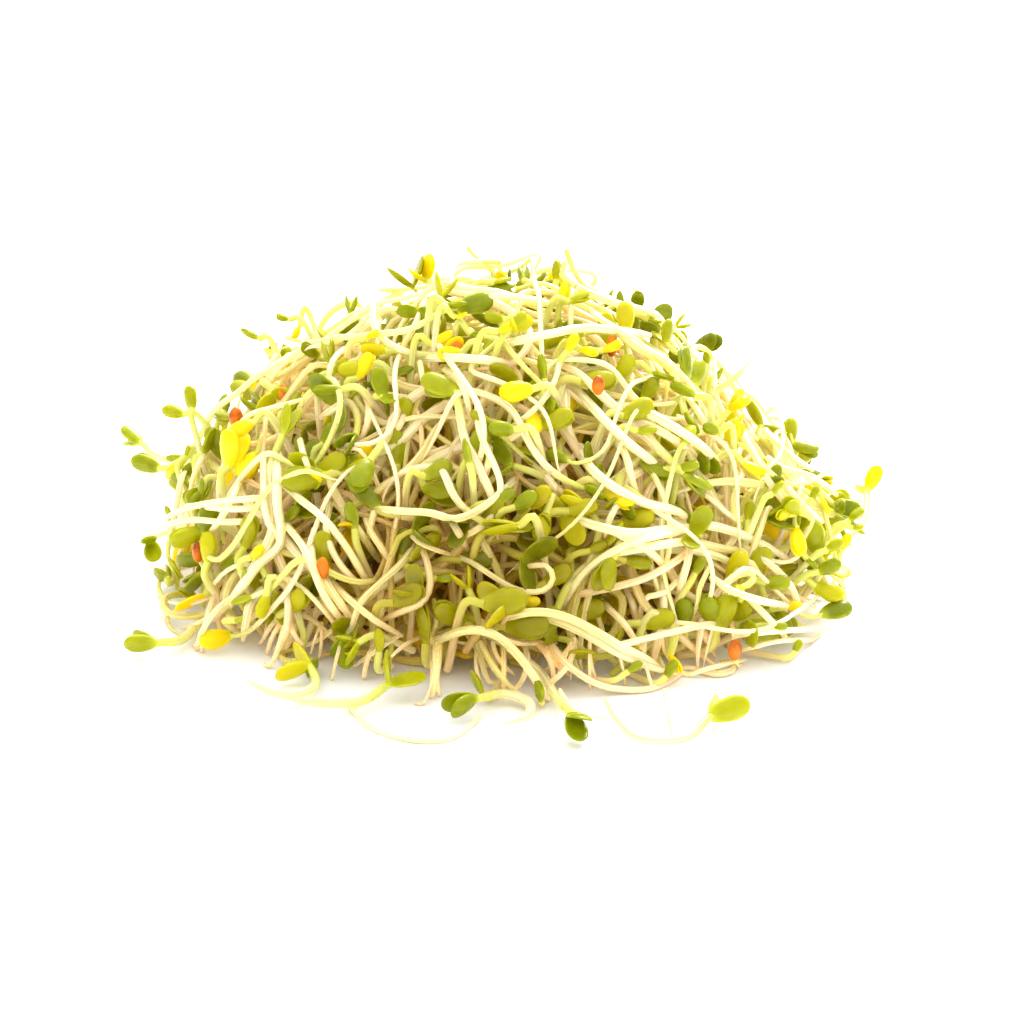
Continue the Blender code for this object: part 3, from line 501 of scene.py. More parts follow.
# Leaf pairs where the picture shows them: the middle, the way that they point in degrees from the
# picture's right, their length, how yellow they are, how far they open, and their roll. Lengths and
# places are in pixels
SEEN_HEADS = (
    (498, 526, 182, 36, 0.58, 14, 15), (541, 528, 250, 30, 0.6, 12, 80), (505, 497, 20, 26, 0.25, 10, 60),
    (508, 602, 5, 44, 0.52, 8, 80), (524, 508, 60, 16, 0.62, 10, 40), (236, 446, 70, 42, 0.93, 26, 85),
    (246, 468, 250, 36, 0.9, 20, 80), (249, 333, 150, 22, 0.35, 8, 10), (268, 360, 185, 26, 0.72, 50, 10),
    (191, 396, 95, 26, 0.45, 8, 85),
    (172, 411, 165, 24, 0.5, 10, 80), (254, 402, 130, 32, 0.35, 20, 15), (240, 428, 200, 26, 0.92, 16, 70),
    (174, 457, 180, 22, 0.3, 10, 20), (187, 470, 270, 16, 0.25, 10, 60), (188, 450, 60, 12, 0.5, 10, 60),
    (210, 440, 65, 30, 0.3, 6, 0), (329, 350, 97, 28, 0.4, 18, 5), (342, 366, 35, 20, 0.5, 10, 70),
    (326, 389, 178, 30, 0.22, 8, 10), (352, 303, 80, 22, 0.3, 22, 10), (282, 317, 160, 14, 0.4, 18, 40),
    (296, 333, 240, 14, 0.9, 16, 60), (374, 335, 10, 16, 0.75, 12, 60), (372, 348, 170, 26, 0.78, 12, 40),
    (366, 365, 55, 30, 0.97, 12, 70), (350, 369, 185, 28, 0.6, 12, 75), (330, 432, 60, 26, 0.2, 8, 70),
    (295, 402, 60, 24, 0.42, 12, 40), (350, 393, 60, 20, 0.42, 26, 20), (446, 283, 70, 28, 0.6, 30, 20),
    (458, 305, -30, 22, 0.3, 6, 5), (462, 316, 0, 12, 0.8, 12, 60), (503, 281, 5, 18, 0.5, 8, 30),
    (541, 279, 45, 20, 0.3, 6, 0), (557, 269, 85, 22, 0.48, 10, 35), (565, 291, 75, 20, 0.97, 10, 85),
    (582, 298, 15, 26, 0.55, 12, 40), (493, 317, 165, 20, 0.42, 8, 60), (519, 320, 50, 22, 0.48, 10, 70),
    (507, 328, 20, 18, 0.85, 14, 60), (478, 335, -40, 15, 0.2, 8, 50), (445, 340, 10, 26, 0.92, 16, 60),
    (448, 353, 190, 24, 0.9, 12, 70), (488, 347, 60, 18, 0.5, 10, 70), (405, 371, -20, 22, 0.15, 10, 60),
    (543, 365, 95, 26, 0.35, 8, 10), (535, 388, 45, 24, 0.18, 8, 85), (514, 391, 200, 34, 0.97, 12, 70),
    (573, 342, 60, 20, 0.88, 10, 80), (500, 428, 175, 26, 0.3, 10, 70), (656, 321, -50, 15, 0.38, 8, 30),
    (684, 322, 30, 20, 0.45, 30, 20), (707, 358, 85, 14, 0.35, 8, 40), (720, 373, 60, 16, 0.25, 6, 10),
    (709, 387, 5, 26, 0.42, 6, 15), (682, 388, 160, 28, 0.3, 8, 15), (692, 424, 275, 28, 0.25, 6, 10),
    (626, 366, 60, 28, 0.58, 10, 85), (651, 388, 60, 26, 0.42, 10, 80), (664, 377, -35, 24, 0.3, 6, 10),
    (710, 428, 180, 20, 0.3, 10, 70), (735, 432, 60, 30, 0.72, 20, 60), (791, 428, 95, 26, 0.45, 8, 80),
    (690, 467, 10, 22, 0.38, 10, 50), (755, 470, -30, 26, 0.97, 12, 50), (648, 431, 0, 20, 0.45, 10, 60),
    (613, 347, 20, 20, 1.0, 12, 60), (590, 352, -40, 20, 0.95, 12, 60), (205, 488, 50, 24, 0.3, 20, 50),
    (196, 498, 230, 16, 0.25, 10, 60), (169, 512, 0, 18, 0.45, 10, 60), (184, 536, 195, 36, 0.52, 12, 50),
    (209, 545, 80, 32, 0.62, 10, 85), (258, 552, 20, 20, 0.75, 12, 75), (262, 608, 250, 24, 0.62, 8, 50),
    (268, 583, -50, 12, 0.2, 10, 60), (240, 620, 10, 12, 0.45, 12, 60), (345, 647, 200, 26, 0.5, 45, 20),
    (352, 514, 100, 28, 0.22, 8, 60), (467, 450, 100, 26, 0.32, 6, 20), (527, 500, 30, 26, 0.3, 10, 80),
    (532, 602, 0, 18, 0.8, 12, 70), (470, 621, 10, 24, 0.6, 12, 60), (464, 577, 110, 24, 0.65, 30, 10),
    (446, 578, 5, 18, 0.35, 8, 50), (604, 576, 240, 36, 0.45, 18, 60), (753, 528, -30, 24, 0.38, 8, 50),
    (797, 543, 250, 32, 1.0, 12, 75), (815, 535, 110, 36, 0.4, 8, 70), (792, 505, 170, 28, 0.48, 14, 60),
    (782, 514, 190, 22, 0.65, 14, 60), (815, 493, 60, 14, 0.35, 10, 60), (825, 507, 280, 18, 0.92, 8, 50),
    (778, 487, 50, 18, 0.42, 6, 20), (836, 545, 30, 20, 0.45, 10, 70), (846, 541, 60, 18, 0.75, 10, 70),
    (831, 567, 20, 26, 0.25, 12, 80), (812, 563, -40, 13, 0.25, 8, 50), (779, 583, 0, 26, 0.35, 10, 70),
    (830, 593, -25, 32, 0.6, 12, 80), (815, 614, 290, 30, 0.45, 12, 80), (857, 514, 40, 20, 0.35, 6, 30),
    (858, 528, 0, 12, 0.55, 10, 60), (838, 645, 235, 28, 0.2, 10, 20), (798, 646, 60, 14, 0.4, 12, 50),
    (781, 627, 0, 14, 0.3, 16, 60), (795, 606, 10, 16, 0.9, 10, 60), (477, 681, 108, 28, 0.42, 6, 15),
    (540, 690, 95, 22, 0.25, 12, 30), (636, 667, 30, 16, 0.35, 16, 40), (672, 668, 60, 20, 0.3, 10, 40),
    (380, 639, 80, 24, 0.6, 10, 50), (750, 510, 80, 20, 0.45, 8, 40), (762, 462, 20, 16, 0.5, 14, 50),
)

# Leaf pairs that the picture shows behind stems, given in the same way
SEEN_BEHIND = (
    (300, 478, 185, 44, 0.45, 10, 85), (335, 465, 10, 40, 0.5, 10, 85), (395, 443, 95, 40, 0.42, 10, 85),
    (600, 381, 0, 36, 0.5, 12, 80), (404, 412, 60, 34, 0.5, 12, 85), (495, 513, 60, 34, 0.45, 10, 85),
    (405, 540, 80, 28, 0.15, 10, 80), (411, 596, 20, 36, 0.5, 12, 70), (425, 622, 88, 40, 0.5, 8, 30),
    (530, 627, 0, 44, 0.4, 10, 75), (655, 470, -48, 38, 0.28, 8, 50), (710, 608, 110, 34, 0.3, 12, 75),
    (685, 610, 95, 30, 0.18, 10, 70), (738, 565, 60, 32, 0.66, 12, 60), (725, 610, 70, 40, 0.5, 12, 85),
    (399, 472, 60, 30, 0.4, 12, 80), (585, 508, 10, 30, 0.6, 10, 80), (620, 500, -35, 34, 0.85, 10, 60),
    (640, 563, -10, 26, 0.4, 8, 60), (600, 547, 20, 20, 0.5, 10, 70), (700, 565, 60, 18, 0.35, 10, 60),
    (293, 513, 20, 24, 0.25, 10, 60), (245, 575, 60, 14, 0.4, 8, 50), (325, 545, 80, 34, 0.5, 12, 80),
    (560, 575, 30, 30, 0.55, 12, 80), (640, 520, 10, 34, 0.6, 12, 80), (480, 560, 0, 34, 0.25, 10, 80),
    (300, 600, 30, 34, 0.6, 12, 80), (760, 560, 40, 34, 0.5, 12, 80), (660, 620, 10, 34, 0.55, 12, 80),
    (590, 610, 10, 34, 0.5, 12, 80), (440, 470, 20, 30, 0.35, 12, 80), (560, 420, 20, 34, 0.5, 12, 80),
    (640, 410, 20, 34, 0.5, 12, 80), (480, 440, 60, 30, 0.35, 12, 80), (250, 530, 60, 34, 0.5, 12, 80),
)

# Seed coats where the picture shows them: place and turn
SEEN_COATS = ((236, 417, 20), (457, 352, 10), (198, 552, 70), (735, 650, 30), (612, 346, 60), (323, 568, 120))


class HeapSizes(bpy.types.PropertyGroup):
    """Sizes of the fine shapes."""

    stem_sides: bpy.props.IntProperty(
        name="Stem sides", description="Sides of each round stem", default=8, min=5, max=16
    )
    leaf_sides: bpy.props.IntProperty(
        name="Leaf sides", description="Points round a single sprout's seed leaf", default=18, min=6, max=32
    )
    leaf_rings: bpy.props.IntProperty(
        name="Leaf rings", description="Rings along a single sprout's seed leaf", default=14, min=4, max=24
    )
    wobble: bpy.props.FloatProperty(
        name="Wobble", description="How uneven a stem is", default=0.09 * MM, min=0, max=0.5 * MM,
        unit="LENGTH", precision=5,
    )
    leaf_cup: bpy.props.FloatProperty(
        name="Leaf cup", description="How far a leaf's edges turn in", default=0.28 * MM, min=0, max=1 * MM,
        unit="LENGTH", precision=5,
    )


class HeapColours(bpy.types.PropertyGroup):
    """Colours of the sprouts."""

    stem: bpy.props.FloatVectorProperty(
        name="Stem", description="Stems in the middle of their length", default=(0.87, 0.76, 0.42),
        size=3, subtype="COLOR", min=0, max=1,
    )
    neck: bpy.props.FloatVectorProperty(
        name="Neck", description="Stems below the leaves", default=(0.60, 0.62, 0.09),
        size=3, subtype="COLOR", min=0, max=1,
    )
    root: bpy.props.FloatVectorProperty(
        name="Root", description="Thin root ends", default=(0.86, 0.60, 0.30),
        size=3, subtype="COLOR", min=0, max=1,
    )
    coat: bpy.props.FloatVectorProperty(
        name="Seed coat", description="Empty seed coats", default=(0.78, 0.20, 0.006),
        size=3, subtype="COLOR", min=0, max=1,
    )


def resting(height):
    """A stem's height, eased up where it would sink into the table."""
    table = STEM_RADIUS + TABLE_GAP
    return (height + table + math.hypot(height - table, FOOT_BLEND)) / 2


def dome_height(x, y, lift):
    """Height above (x, y) of the layer that is `lift` outside the heart; below 0 beyond its foot."""
    rest = 1 - (x / (HEART_HALF_WIDTH + lift)) ** 2 - (y / (HEART_HALF_DEPTH + lift)) ** 2
    dome = (HEART_HEIGHT + lift) * math.copysign(abs(rest) ** (FLANK_POWER / 2), rest)
    for across, deep, reach, height in SWELLINGS:
        far = ((x - across) ** 2 + (y - deep) ** 2) / (2 * reach * reach)
        dome += height * math.exp(-far) * max(min(rest * SWELLING_FADE, 1), 0)
    return dome


def layer_height(x, y, lift):
    """The layer's height, running out on the table."""
    return resting(dome_height(x, y, lift))


def heap_point(bearing, climb, lift):
    """The point of the layer that is `lift` outside the heart, at a bearing and a climb in degrees."""
    turn, rise = math.radians(bearing), math.radians(max(climb, 0))
    across = (HEART_HALF_WIDTH + lift) * math.sin(turn) * math.cos(rise)
    deep = -(HEART_HALF_DEPTH + lift) * math.cos(turn) * math.cos(rise)
    out = 1 + max(-climb, 0) * MM / math.hypot(across, deep) if climb < 0 else 1
    return Vector((across * out, deep * out, max(dome_height(across * out, deep * out, lift), 0)))


def beyond_foot(point):
    """How far out a point is, where 1 is the edge of the net."""
    return math.hypot(point.x / (HEART_HALF_WIDTH + NET_REACH), point.y / (HEART_HALF_DEPTH + NET_REACH))


def outward(point):
    """The direction away from the heap at a point."""
    return Vector(
        (point.x / HEART_HALF_WIDTH**2, point.y / HEART_HALF_DEPTH**2, max(point.z, 0) / HEART_HEIGHT**2)
    ).normalized()


def smooth_line(waypoints, step):
    """Points about `step` apart along a smooth curve through the waypoints."""
    first = waypoints[0] * 2 - waypoints[1]
    last = waypoints[-1] * 2 - waypoints[-2]
    knots = [first, *waypoints, last]
    fine = []
    for before, start, end, after in zip(knots, knots[1:], knots[2:], knots[3:]):
        for i in range(LINE_STEPS):
            t = i / LINE_STEPS
            bent = (2 * before - 5 * start + 4 * end - after) * t**2
            twisted = (3 * start - before - 3 * end + after) * t**3
            fine.append(0.5 * (2 * start + (end - before) * t + bent + twisted))
    fine.append(waypoints[-1])
    along = np.cumsum([0] + [(b - a).length for a, b in zip(fine, fine[1:])])
    count = max(3, round(along[-1] / step) + 1)
    places = np.array([tuple(p) for p in fine])
    wanted = np.linspace(0, along[-1], count)
    return [Vector(p) for p in zip(*(np.interp(wanted, along, places[:, axis]) for axis in range(3)))]


def laid_line(start, lift, heading, turn, length, end_lift):
    """A stem laid over the heap from a point: its line, and the lift at each of its points."""
    strides = NET_SEGMENTS * STRIDES
    stride = length / strides
    x, y = start.x, start.y
    points, lifts = [], []
    for i in range(strides + 1):
        share = i / strides
        level = lift + (end_lift - lift) * share * share * (3 - 2 * share)
        height = layer_height(x, y, level)
        if i % STRIDES == 0:
            points.append(Vector((x, y, height)))
            lifts.append(level)
        heading += turn / strides
        ahead = layer_height(x + stride * math.cos(heading), y + stride * math.sin(heading), level)
        run = stride / math.hypot(1, (ahead - height) / stride)
        x += run * math.cos(heading)
        y += run * math.sin(heading)
    return points, lifts


def stem_radii(count, start, end):
    """Radii from one end of a stem to the other, fullest in between."""
    shares = [i / (count - 1) for i in range(count)]
    return [start + (end - start) * s + (STEM_RADIUS - (start + end) / 2) * 4 * s * (1 - s) for s in shares]


class Room:
    """The room that is taken, as balls of (x, y, z, radius), to keep new pieces clear of it."""

    def __init__(self):
        self.balls = np.zeros((0, 4))

    def take(self, balls):
        self.balls = np.vstack([self.balls, balls])

    def gaps(self, balls):
        """For each of these balls, its distance from what is placed."""
        if not len(self.balls):
            return np.full(len(balls), math.inf)
        apart = np.linalg.norm(balls[:, None, :3] - self.balls[None, :, :3], axis=2)
        return (apart - balls[:, None, 3] - self.balls[None, :, 3]).min(axis=1)

    def gap(self, balls):
        """The least distance between these balls and what is placed."""
        return float(self.gaps(balls).min())


def stem_balls(line, radii):
    """Balls along a stem."""
    balls = []
    for start, end, first, last in zip(line, line[1:], radii, radii[1:]):
        count = max(2, math.ceil((end - start).length / BALL_SPACING) + 1)
        for share in np.linspace(0, 1, count):
            balls.append((*start.lerp(end, share), first + (last - first) * share))
    return np.array(balls)


def blade_point(head, along, across, scale, reach, side, out):
    """A point of a leaf: reach 0 to 1 along it, side and out -1 to 1 across it and through it."""
    normal = along.cross(across)
    return (
        head
        + along * (reach * LEAF_LENGTH * scale - LEAF_SUNK)
        + across * (side * LEAF_WIDTH * scale / 2)
        + normal * (out * LEAF_THICKNESS / 2 + LEAF_ARCH * reach * reach)
    )


def leaf_balls(head, along, across, scale):
    """Balls over a leaf."""
    balls = []
    for reach in LEAF_BALL_REACHES:
        half = 2 * math.sqrt(reach * (1 - reach))
        for side in LEAF_BALL_SIDES:
            place = blade_point(head, along, across, scale, reach, side * half, 0)
            balls.append((*place, LEAF_THICKNESS / 2))
    return np.array(balls)


def leaf_pair(axis, away, roll, opening):
    """The (along, across) directions of both leaves of a head that points along axis."""
    level = axis.cross(away)
    if level.length < LEAST_SIDEWAYS:
        level = axis.cross(Vector((0, 0, 1)) if abs(axis.z) < abs(axis.x) else Vector((1, 0, 0)))
    spread = Matrix.Rotation(math.radians(roll), 3, axis) @ level.normalized()
    across = axis.cross(spread).normalized()
    for sign, half in ((1, math.radians(opening)), (-1, math.radians(opening + PAIR_UNEVEN))):
        sideways = (spread + across * sign * PAIR_TWIST).normalized() * sign
        along = (axis * math.cos(half) + sideways * math.sin(half)).normalized()
        yield along, (across * sign - along * along.dot(across * sign)).normalized()


def sprout_shape(sprout, lift):
    """A single sprout at a lift: its stem line and radii, its neck line, and its leaves."""
    head_lifts = [lift + sprout.rise * MM * share for share in END_SHARES]
    root_lifts = [lift - ROOT_DIVE * share for share in reversed(END_SHARES)]
    lifts = head_lifts + [lift] * (len(sprout.waypoints) - 2 * len(END_SHARES)) + root_lifts
    places = [heap_point(*waypoint, up) for waypoint, up in zip(sprout.waypoints, lifts)]
    aim = heap_point(*sprout.aim, lifts[0] + sprout.tilt * MM)
    for place in places:
        place.z = resting(place.z)
    if sprout.waypoints[0][1] < 0:
        places[0].z += HEAD_OFF_TABLE
        aim.z = places[0].z + sprout.tilt * MM
    line = smooth_line(places, NECK_STEP)
    neck, rest = line[:NECK_POINTS], line[NECK_POINTS:]
    stem_top = neck[-1] + (rest[0] - neck[-1]).normalized() * CLEARANCE
    stem = smooth_line([stem_top, *rest], SPROUT_STEP)
    axis = (aim - neck[0]).normalized()
    leaves = [(*pair, sprout.leaf) for pair in leaf_pair(axis, outward(neck[0]), sprout.roll, sprout.opening)]
    return stem, stem_radii(len(stem), NECK_RADIUS, ROOT_RADIUS), neck, leaves, line


# What is drawn of a sprout: its line from head to root with its radii, how many of its points are
# green neck, its leaves as (foot, along, across, scale, curl), its tones, and its painted shade
Drawn = namedtuple("Drawn", "line radii neck leaves tone stem_tone shade")


def fine_radii(line, start, end, scale=1.0):
    """Radii along a fine line from head to root, thinning into a tip at its last few millimetres."""
    radii = np.array(stem_radii(len(line), start, end)) * scale
    steps = [(b - a).length for a, b in zip(line, line[1:])]
    to_end = np.cumsum([0, *reversed(steps)])[::-1]
    taper = np.clip(to_end / TIP_LENGTH, 0, 1)
    return radii * (TIP_SHARE + (1 - TIP_SHARE) * np.sqrt(taper))


def place_single(sprout, room):
    """The lowest lift at which a single sprout is clear of the others, and its shape there."""
    for raises in range(MOST_RAISES):
        stem, radii, neck, leaves, line = sprout_shape(sprout, SPROUT_LIFT + raises * RAISE_STEP)
        green = np.vstack([leaf_balls(neck[0], *each) for each in leaves])
        balls = np.vstack([stem_balls(stem, radii), stem_balls(neck, [NECK_RADIUS] * len(neck)), green])
        if room.gap(balls) >= CLEARANCE:
            break
    room.take(balls)
    return line, leaves


def place_coat(bearing, climb, lift, room):
    """The middle of a seed coat, pushed outwards until it clears what lies below it."""
    for raises in range(MOST_RAISES * 2):
        middle = heap_point(bearing, climb, lift * MM + raises * RAISE_STEP)
        ball = np.array([(*middle, COAT_LENGTH / 2)])
        if room.gap(ball) >= CLEARANCE:
            break
    room.take(ball)
    return middle


def place_net(room):
    """The lines of the net's stems. Each starts in an earlier one."""
    draw = random.Random(NET_SEED)
    laid = [laid_line(heap_point(*NET_START, NET_LIFT[0]), NET_LIFT[0], 0, 0, NET_LENGTH[1], NET_LIFT[0])]
    own = Room()
    own.take(stem_balls(laid[0][0], [STEM_RADIUS] * len(laid[0][0])))
    while len(laid) < NET_STEMS:
        best, most = None, -math.inf
        for _ in range(NET_TRIES):
            points, lifts = draw.choice(laid)
            at = draw.randrange(1, len(points) - 1)
            length = draw.uniform(*NET_LENGTH)
            turn = math.radians(draw.uniform(*NET_TURN))
            heading = draw.uniform(-math.pi, math.pi)
            line = laid_line(points[at], lifts[at], heading, turn, length, draw.uniform(*NET_LIFT))
            balls = stem_balls(line[0], stem_radii(len(line[0]), ROOT_RADIUS, NECK_RADIUS))
            if max(beyond_foot(point) for point in line[0]) > 1 or room.gap(balls) < CLEARANCE:
                continue
            gaps = own.gaps(balls)
            value = np.minimum(gaps, NET_FAR).mean() - NET_CROSSING * (gaps < 0).sum()
            if value > most:
                best, most = (line, balls), value
        if best:
            laid.append(best[0])
            own.take(best[1])
    room.take(own.balls)
    return [points for points, _ in laid]


def place_shoots(room):
    """The leaf pairs that stand out of the heart: the line of each, from head to root, and its leaves."""
    draw = random.Random(SHOOT_SEED)
    own = Room()
    shoots = []
    for _ in range(SHOOT_TRIES):
        if len(shoots) >= SHOOTS:
            break
        bearing = draw.uniform(-180, 180)
        climb = math.degrees(math.asin(draw.uniform(*SHOOT_CLIMB_SINES)))
        turn, lean = draw.uniform(-SHOOT_LEAN, SHOOT_LEAN), draw.uniform(-SHOOT_LEAN, SHOOT_LEAN)
        top_lift = draw.uniform(*SHOOT_TOP_LIFT)
        roll, opening, scale = draw.uniform(0, 180), draw.uniform(*SHOOT_OPENING), draw.uniform(*SHOOT_SCALE)
        root = heap_point(bearing, climb, SHOOT_ROOT_LIFT)
        waist = heap_point(bearing, climb, top_lift * SHOOT_WAIST)
        head_climb = min(max(climb + lean, SHOOT_CLIMBS[0]), SHOOT_CLIMBS[1])
        head = heap_point(bearing + turn, head_climb, top_lift)
        line = smooth_line([root, waist, head], top_lift / 2)
        radii = [NECK_RADIUS] * len(line)
        axis = (line[-1] - line[-2]).normalized()
        leaves = [(*pair, scale) for pair in leaf_pair(axis, outward(head), roll, opening)]
        balls = np.vstack([leaf_balls(head, *each) for each in leaves])
        if room.gap(np.vstack([stem_balls(line, radii), balls])) < CLEARANCE:
            continue
        if own.gap(balls) < SHOOT_APART or (balls[:, 2] - balls[:, 3]).min() < TABLE_GAP:
            continue
        own.take(balls)
        shoots.append(([head, waist, root], leaves))
    return shoots


class Cover:
    """The heights of all that is laid so far, on a square grid seen from above."""

    def __init__(self):
        self.count = round(2 * COVER_HALF / COVER_CELL)
        self.centres = (np.arange(self.count) + 0.5) * COVER_CELL - COVER_HALF
        self.height = self.layer(CORE_LIFT)

    def layer(self, lift):
        """The grid of a layer's heights, and the table's beyond its foot."""
        return np.array([[max(dome_height(x, y, lift), 0) for y in self.centres] for x in self.centres])

    def cells(self, places):
        found = ((places[:, :2] + COVER_HALF) / COVER_CELL).astype(int)
        return np.clip(found, 1, self.count - 2)

    def at(self, grid, places):
        """A grid's value at each place."""
        found = self.cells(places)
        return grid[found[:, 0], found[:, 1]]

    def under(self, places):
        """The height of what a stem would rest on at each place."""
        found = self.cells(places)
        steps = (-1, 0, 1)
        return np.max([self.height[found[:, 0] + i, found[:, 1] + j] for i in steps for j in steps], axis=0)

    def add(self, balls):
        """Raises the grid over these balls."""
        found = self.cells(balls)
        reach = math.ceil(balls[:, 3].max() / COVER_CELL)
        for i in range(-reach, reach + 1):
            for j in range(-reach, reach + 1):
                x = np.clip(found[:, 0] + i, 0, self.count - 1)
                y = np.clip(found[:, 1] + j, 0, self.count - 1)
                far = (self.centres[x] - balls[:, 0]) ** 2 + (self.centres[y] - balls[:, 1]) ** 2
                inside = far < balls[:, 3] ** 2
                top = balls[inside, 2] + np.sqrt(balls[inside, 3] ** 2 - far[inside])
                np.maximum.at(self.height, (x[inside], y[inside]), top)


def slope(x, y, lift):
    """How steep a layer is at (x, y), and the direction uphill as seen from above."""
    height = layer_height(x, y, lift)
    right = layer_height(x + SLOPE_STEP, y, lift) - height
    back = layer_height(x, y + SLOPE_STEP, lift) - height
    up = Vector((right, back))
    return up.length / SLOPE_STEP, up.normalized()


def wander(draw, x, y, heading, length, lift):
    """A path over the heap as seen from above, which bends and waves, in even steps along the slope."""
    steps = max(round(length / FINE_STEP), LEAST_STEPS)
    bend = math.radians(draw.uniform(-MOST_BEND, MOST_BEND))
    wave, waves, phase = draw.uniform(*WAVE), draw.uniform(*WAVES), draw.uniform(0, 2 * math.pi)
    hook = draw.choice(HOOK_SIGNS) * draw.uniform(*HOOK)
    places = []
    for i in range(steps + 1):
        places.append((x, y))
        share = i / steps
        turn = bend + wave * math.cos(2 * math.pi * waves * share + phase)
        heading += (turn + hook * (share < HOOK_SHARE) / HOOK_SHARE) / steps
        steep, uphill = slope(x, y, lift)
        toward = Vector((math.cos(heading), math.sin(heading)))
        toward -= uphill * toward.dot(uphill) * (1 - 1 / math.hypot(1, steep))
        x += FINE_STEP * toward.x
        y += FINE_STEP * toward.y
    return np.array(places)


def draped(path, radii, cover):
    """The heights of a stem that rests on the cover and bridges its dips."""
    floor = cover.under(path) + radii
    heights = floor.copy()
    for _ in range(BRIDGE_PASSES):
        between = (heights[:-2] + heights[2:]) / 2 - BRIDGE_SAG
        heights[1:-1] = np.maximum(floor[1:-1], between)
    for _ in range(SMOOTH_PASSES):
        heights[1:-1] = (heights[:-2] + 2 * heights[1:-1] + heights[2:]) / 4
    return heights


def leaf_tips(leaves):
    """The far ends and the middles of drawn leaves."""
    found = []
    for foot, along, _, scale, _ in leaves:
        for share in (0.5, 1):
            found.append(tuple(foot + along * LEAF_LENGTH * scale * share))
    return np.array(found)


def added_leaves(draw, line, cover, scale):
    """The leaf pair of an added sprout, turned up until it clears the cover and the table."""
    head = line[0]
    axis = (line[0] - line[2]).normalized()
    opening = draw.choice([draw.uniform(*each) for each in LEAF_OPENINGS])
    roll, curl = draw.uniform(0, 180), draw.uniform(*LEAF_CURL)
    away = outward(head)
    best, most = [], TABLE_GAP
    for lift in LEAF_TURNS:
        side = Vector((draw.uniform(-1, 1), draw.uniform(-1, 1), draw.uniform(*LEAN_UP)))
        aim = (axis + side * LEAN_ASIDE + away * lift).normalized()
        leaves = [(head, *pair, scale, curl) for pair in leaf_pair(aim, away, roll, opening)]
        tips = leaf_tips(leaves)
        over_heap = (tips[:, 2] - cover.at(cover.height, tips)).min()
        low = min(over_heap + SUNK_LEAF, tips[:, 2].min() - LEAF_OFF_TABLE)
        if inside_box(tips, BOX_MARGIN) and low > most:
            best, most = leaves, low
        if most > SUNK_LEAF:
            break
    return best


def inside_box(places, margin):
    """True if every place keeps a margin inside the box of the solids."""
    low, high = np.array(CAD_LOW)[:2] + margin, np.array(CAD_HIGH) - margin
    return bool((places[:, :2] > low).all() and (places < high).all())


def line_balls(line, radii):
    """Balls at the points of a line."""
    return np.hstack([np.array([tuple(point) for point in line]), np.array(radii)[:, None]])


def drawn_leaf_balls(leaves):
    """Balls over drawn leaves."""
    return np.vstack([leaf_balls(foot, along, across, scale) for foot, along, across, scale, _ in leaves])


def shown_at(places):
    """Where the camera shows these places in the picture."""
    away = places - np.array(CAMERA_EYE)
    far = away @ -np.array(CAMERA_BACK)
    x = PICTURE / 2 + PIXELS_PER_LENS * (away @ np.array(CAMERA_RIGHT)) / far
    y = PICTURE / 2 - PIXELS_PER_LENS * (away @ np.array(CAMERA_UP)) / far
    return np.column_stack([x, y])


def over_edge(places):
    """True if any of these places would show above the heap's upper edge in the picture."""
    x, y = shown_at(places).T
    return bool((y < np.interp(x, *UPPER_EDGE)).any())


def lay_one(draw, layer, cover, ceiling):
    """One added sprout, in the deepest place found in a few tries, or None."""
    best, least = None, math.inf
    for _ in range(layer.tries):
        bearing, climb = draw.uniform(-180, 180), math.degrees(math.asin(draw.uniform(0, 1)))
        if layer.name in UPPERMOST and abs(bearing) < FRONT_BEARING and draw.random() > FRONT_SHARE:
            continue
        start = heap_point(bearing, climb, layer.ceiling * MM)
        length, scale = draw.uniform(*layer.length) * MM, draw.uniform(*layer.radius)
        level = math.radians(bearing + draw.choice((0, 180)) + draw.uniform(-layer.across, layer.across))
        path = wander(draw, start.x, start.y, level, length, layer.ceiling * MM)
        halves = (HEART_HALF_WIDTH + NET_REACH, HEART_HALF_DEPTH + NET_REACH)
        if np.hypot(*(path / halves).T).max() > LAYER_REACH:
            continue
        radii = np.array(stem_radii(len(path), NECK_RADIUS, ROOT_RADIUS)) * scale
        heights = draped(path, radii, cover)
        over = heights - cover.at(ceiling, path)
        if np.percentile(over, MOSTLY) > layer.over * MM:
            continue
        if over.mean() < least:
            best, least = (path, heights, scale), over.mean()
    if best is None:
        return None
    path, heights, scale = best
    share = np.linspace(0, 1, len(path))
    reach = np.arange(len(path)) * FINE_STEP / HEAD_REACH
    heights = heights + draw.uniform(*layer.rise) * MM * np.clip(1 - reach, 0, 1) ** 2
    heights = heights + draw.uniform(*layer.arch) * MM * np.sin(math.pi * share) ** 2
    heights = np.maximum(heights - layer.dive * MM * share**2, np.minimum(heights, STEM_RADIUS))
    line = [Vector((x, y, z)) for (x, y), z in zip(path, heights)]
    radii = fine_radii(line, NECK_RADIUS, ROOT_RADIUS, scale)
    if not inside_box(np.array([tuple(point) for point in line]), BOX_MARGIN):
        return None
    leaves = []
    if draw.random() < LEAFY_SHARE:
        leaves = added_leaves(draw, line, cover, draw.uniform(*ADDED_LEAF))
    if layer.name in UPPERMOST and leaves and over_edge(leaf_tips(leaves)):
        return None
    tone = draw.choice([draw.uniform(*each) for each in LEAF_TONE_RANGES])
    cover.add(line_balls(line, radii))
    if leaves:
        cover.add(drawn_leaf_balls(leaves))
    return Drawn(line, radii, NECK_STEPS, leaves, tone, draw.random(), layer.shade)


def sight(x, y):
    """The direction from the camera through a place in the picture."""
    across, down = (x - PICTURE / 2) / PIXELS_PER_LENS, (y - PICTURE / 2) / PIXELS_PER_LENS
    return (CAMERA_RIGHT * across - CAMERA_UP * down - CAMERA_BACK).normalized()


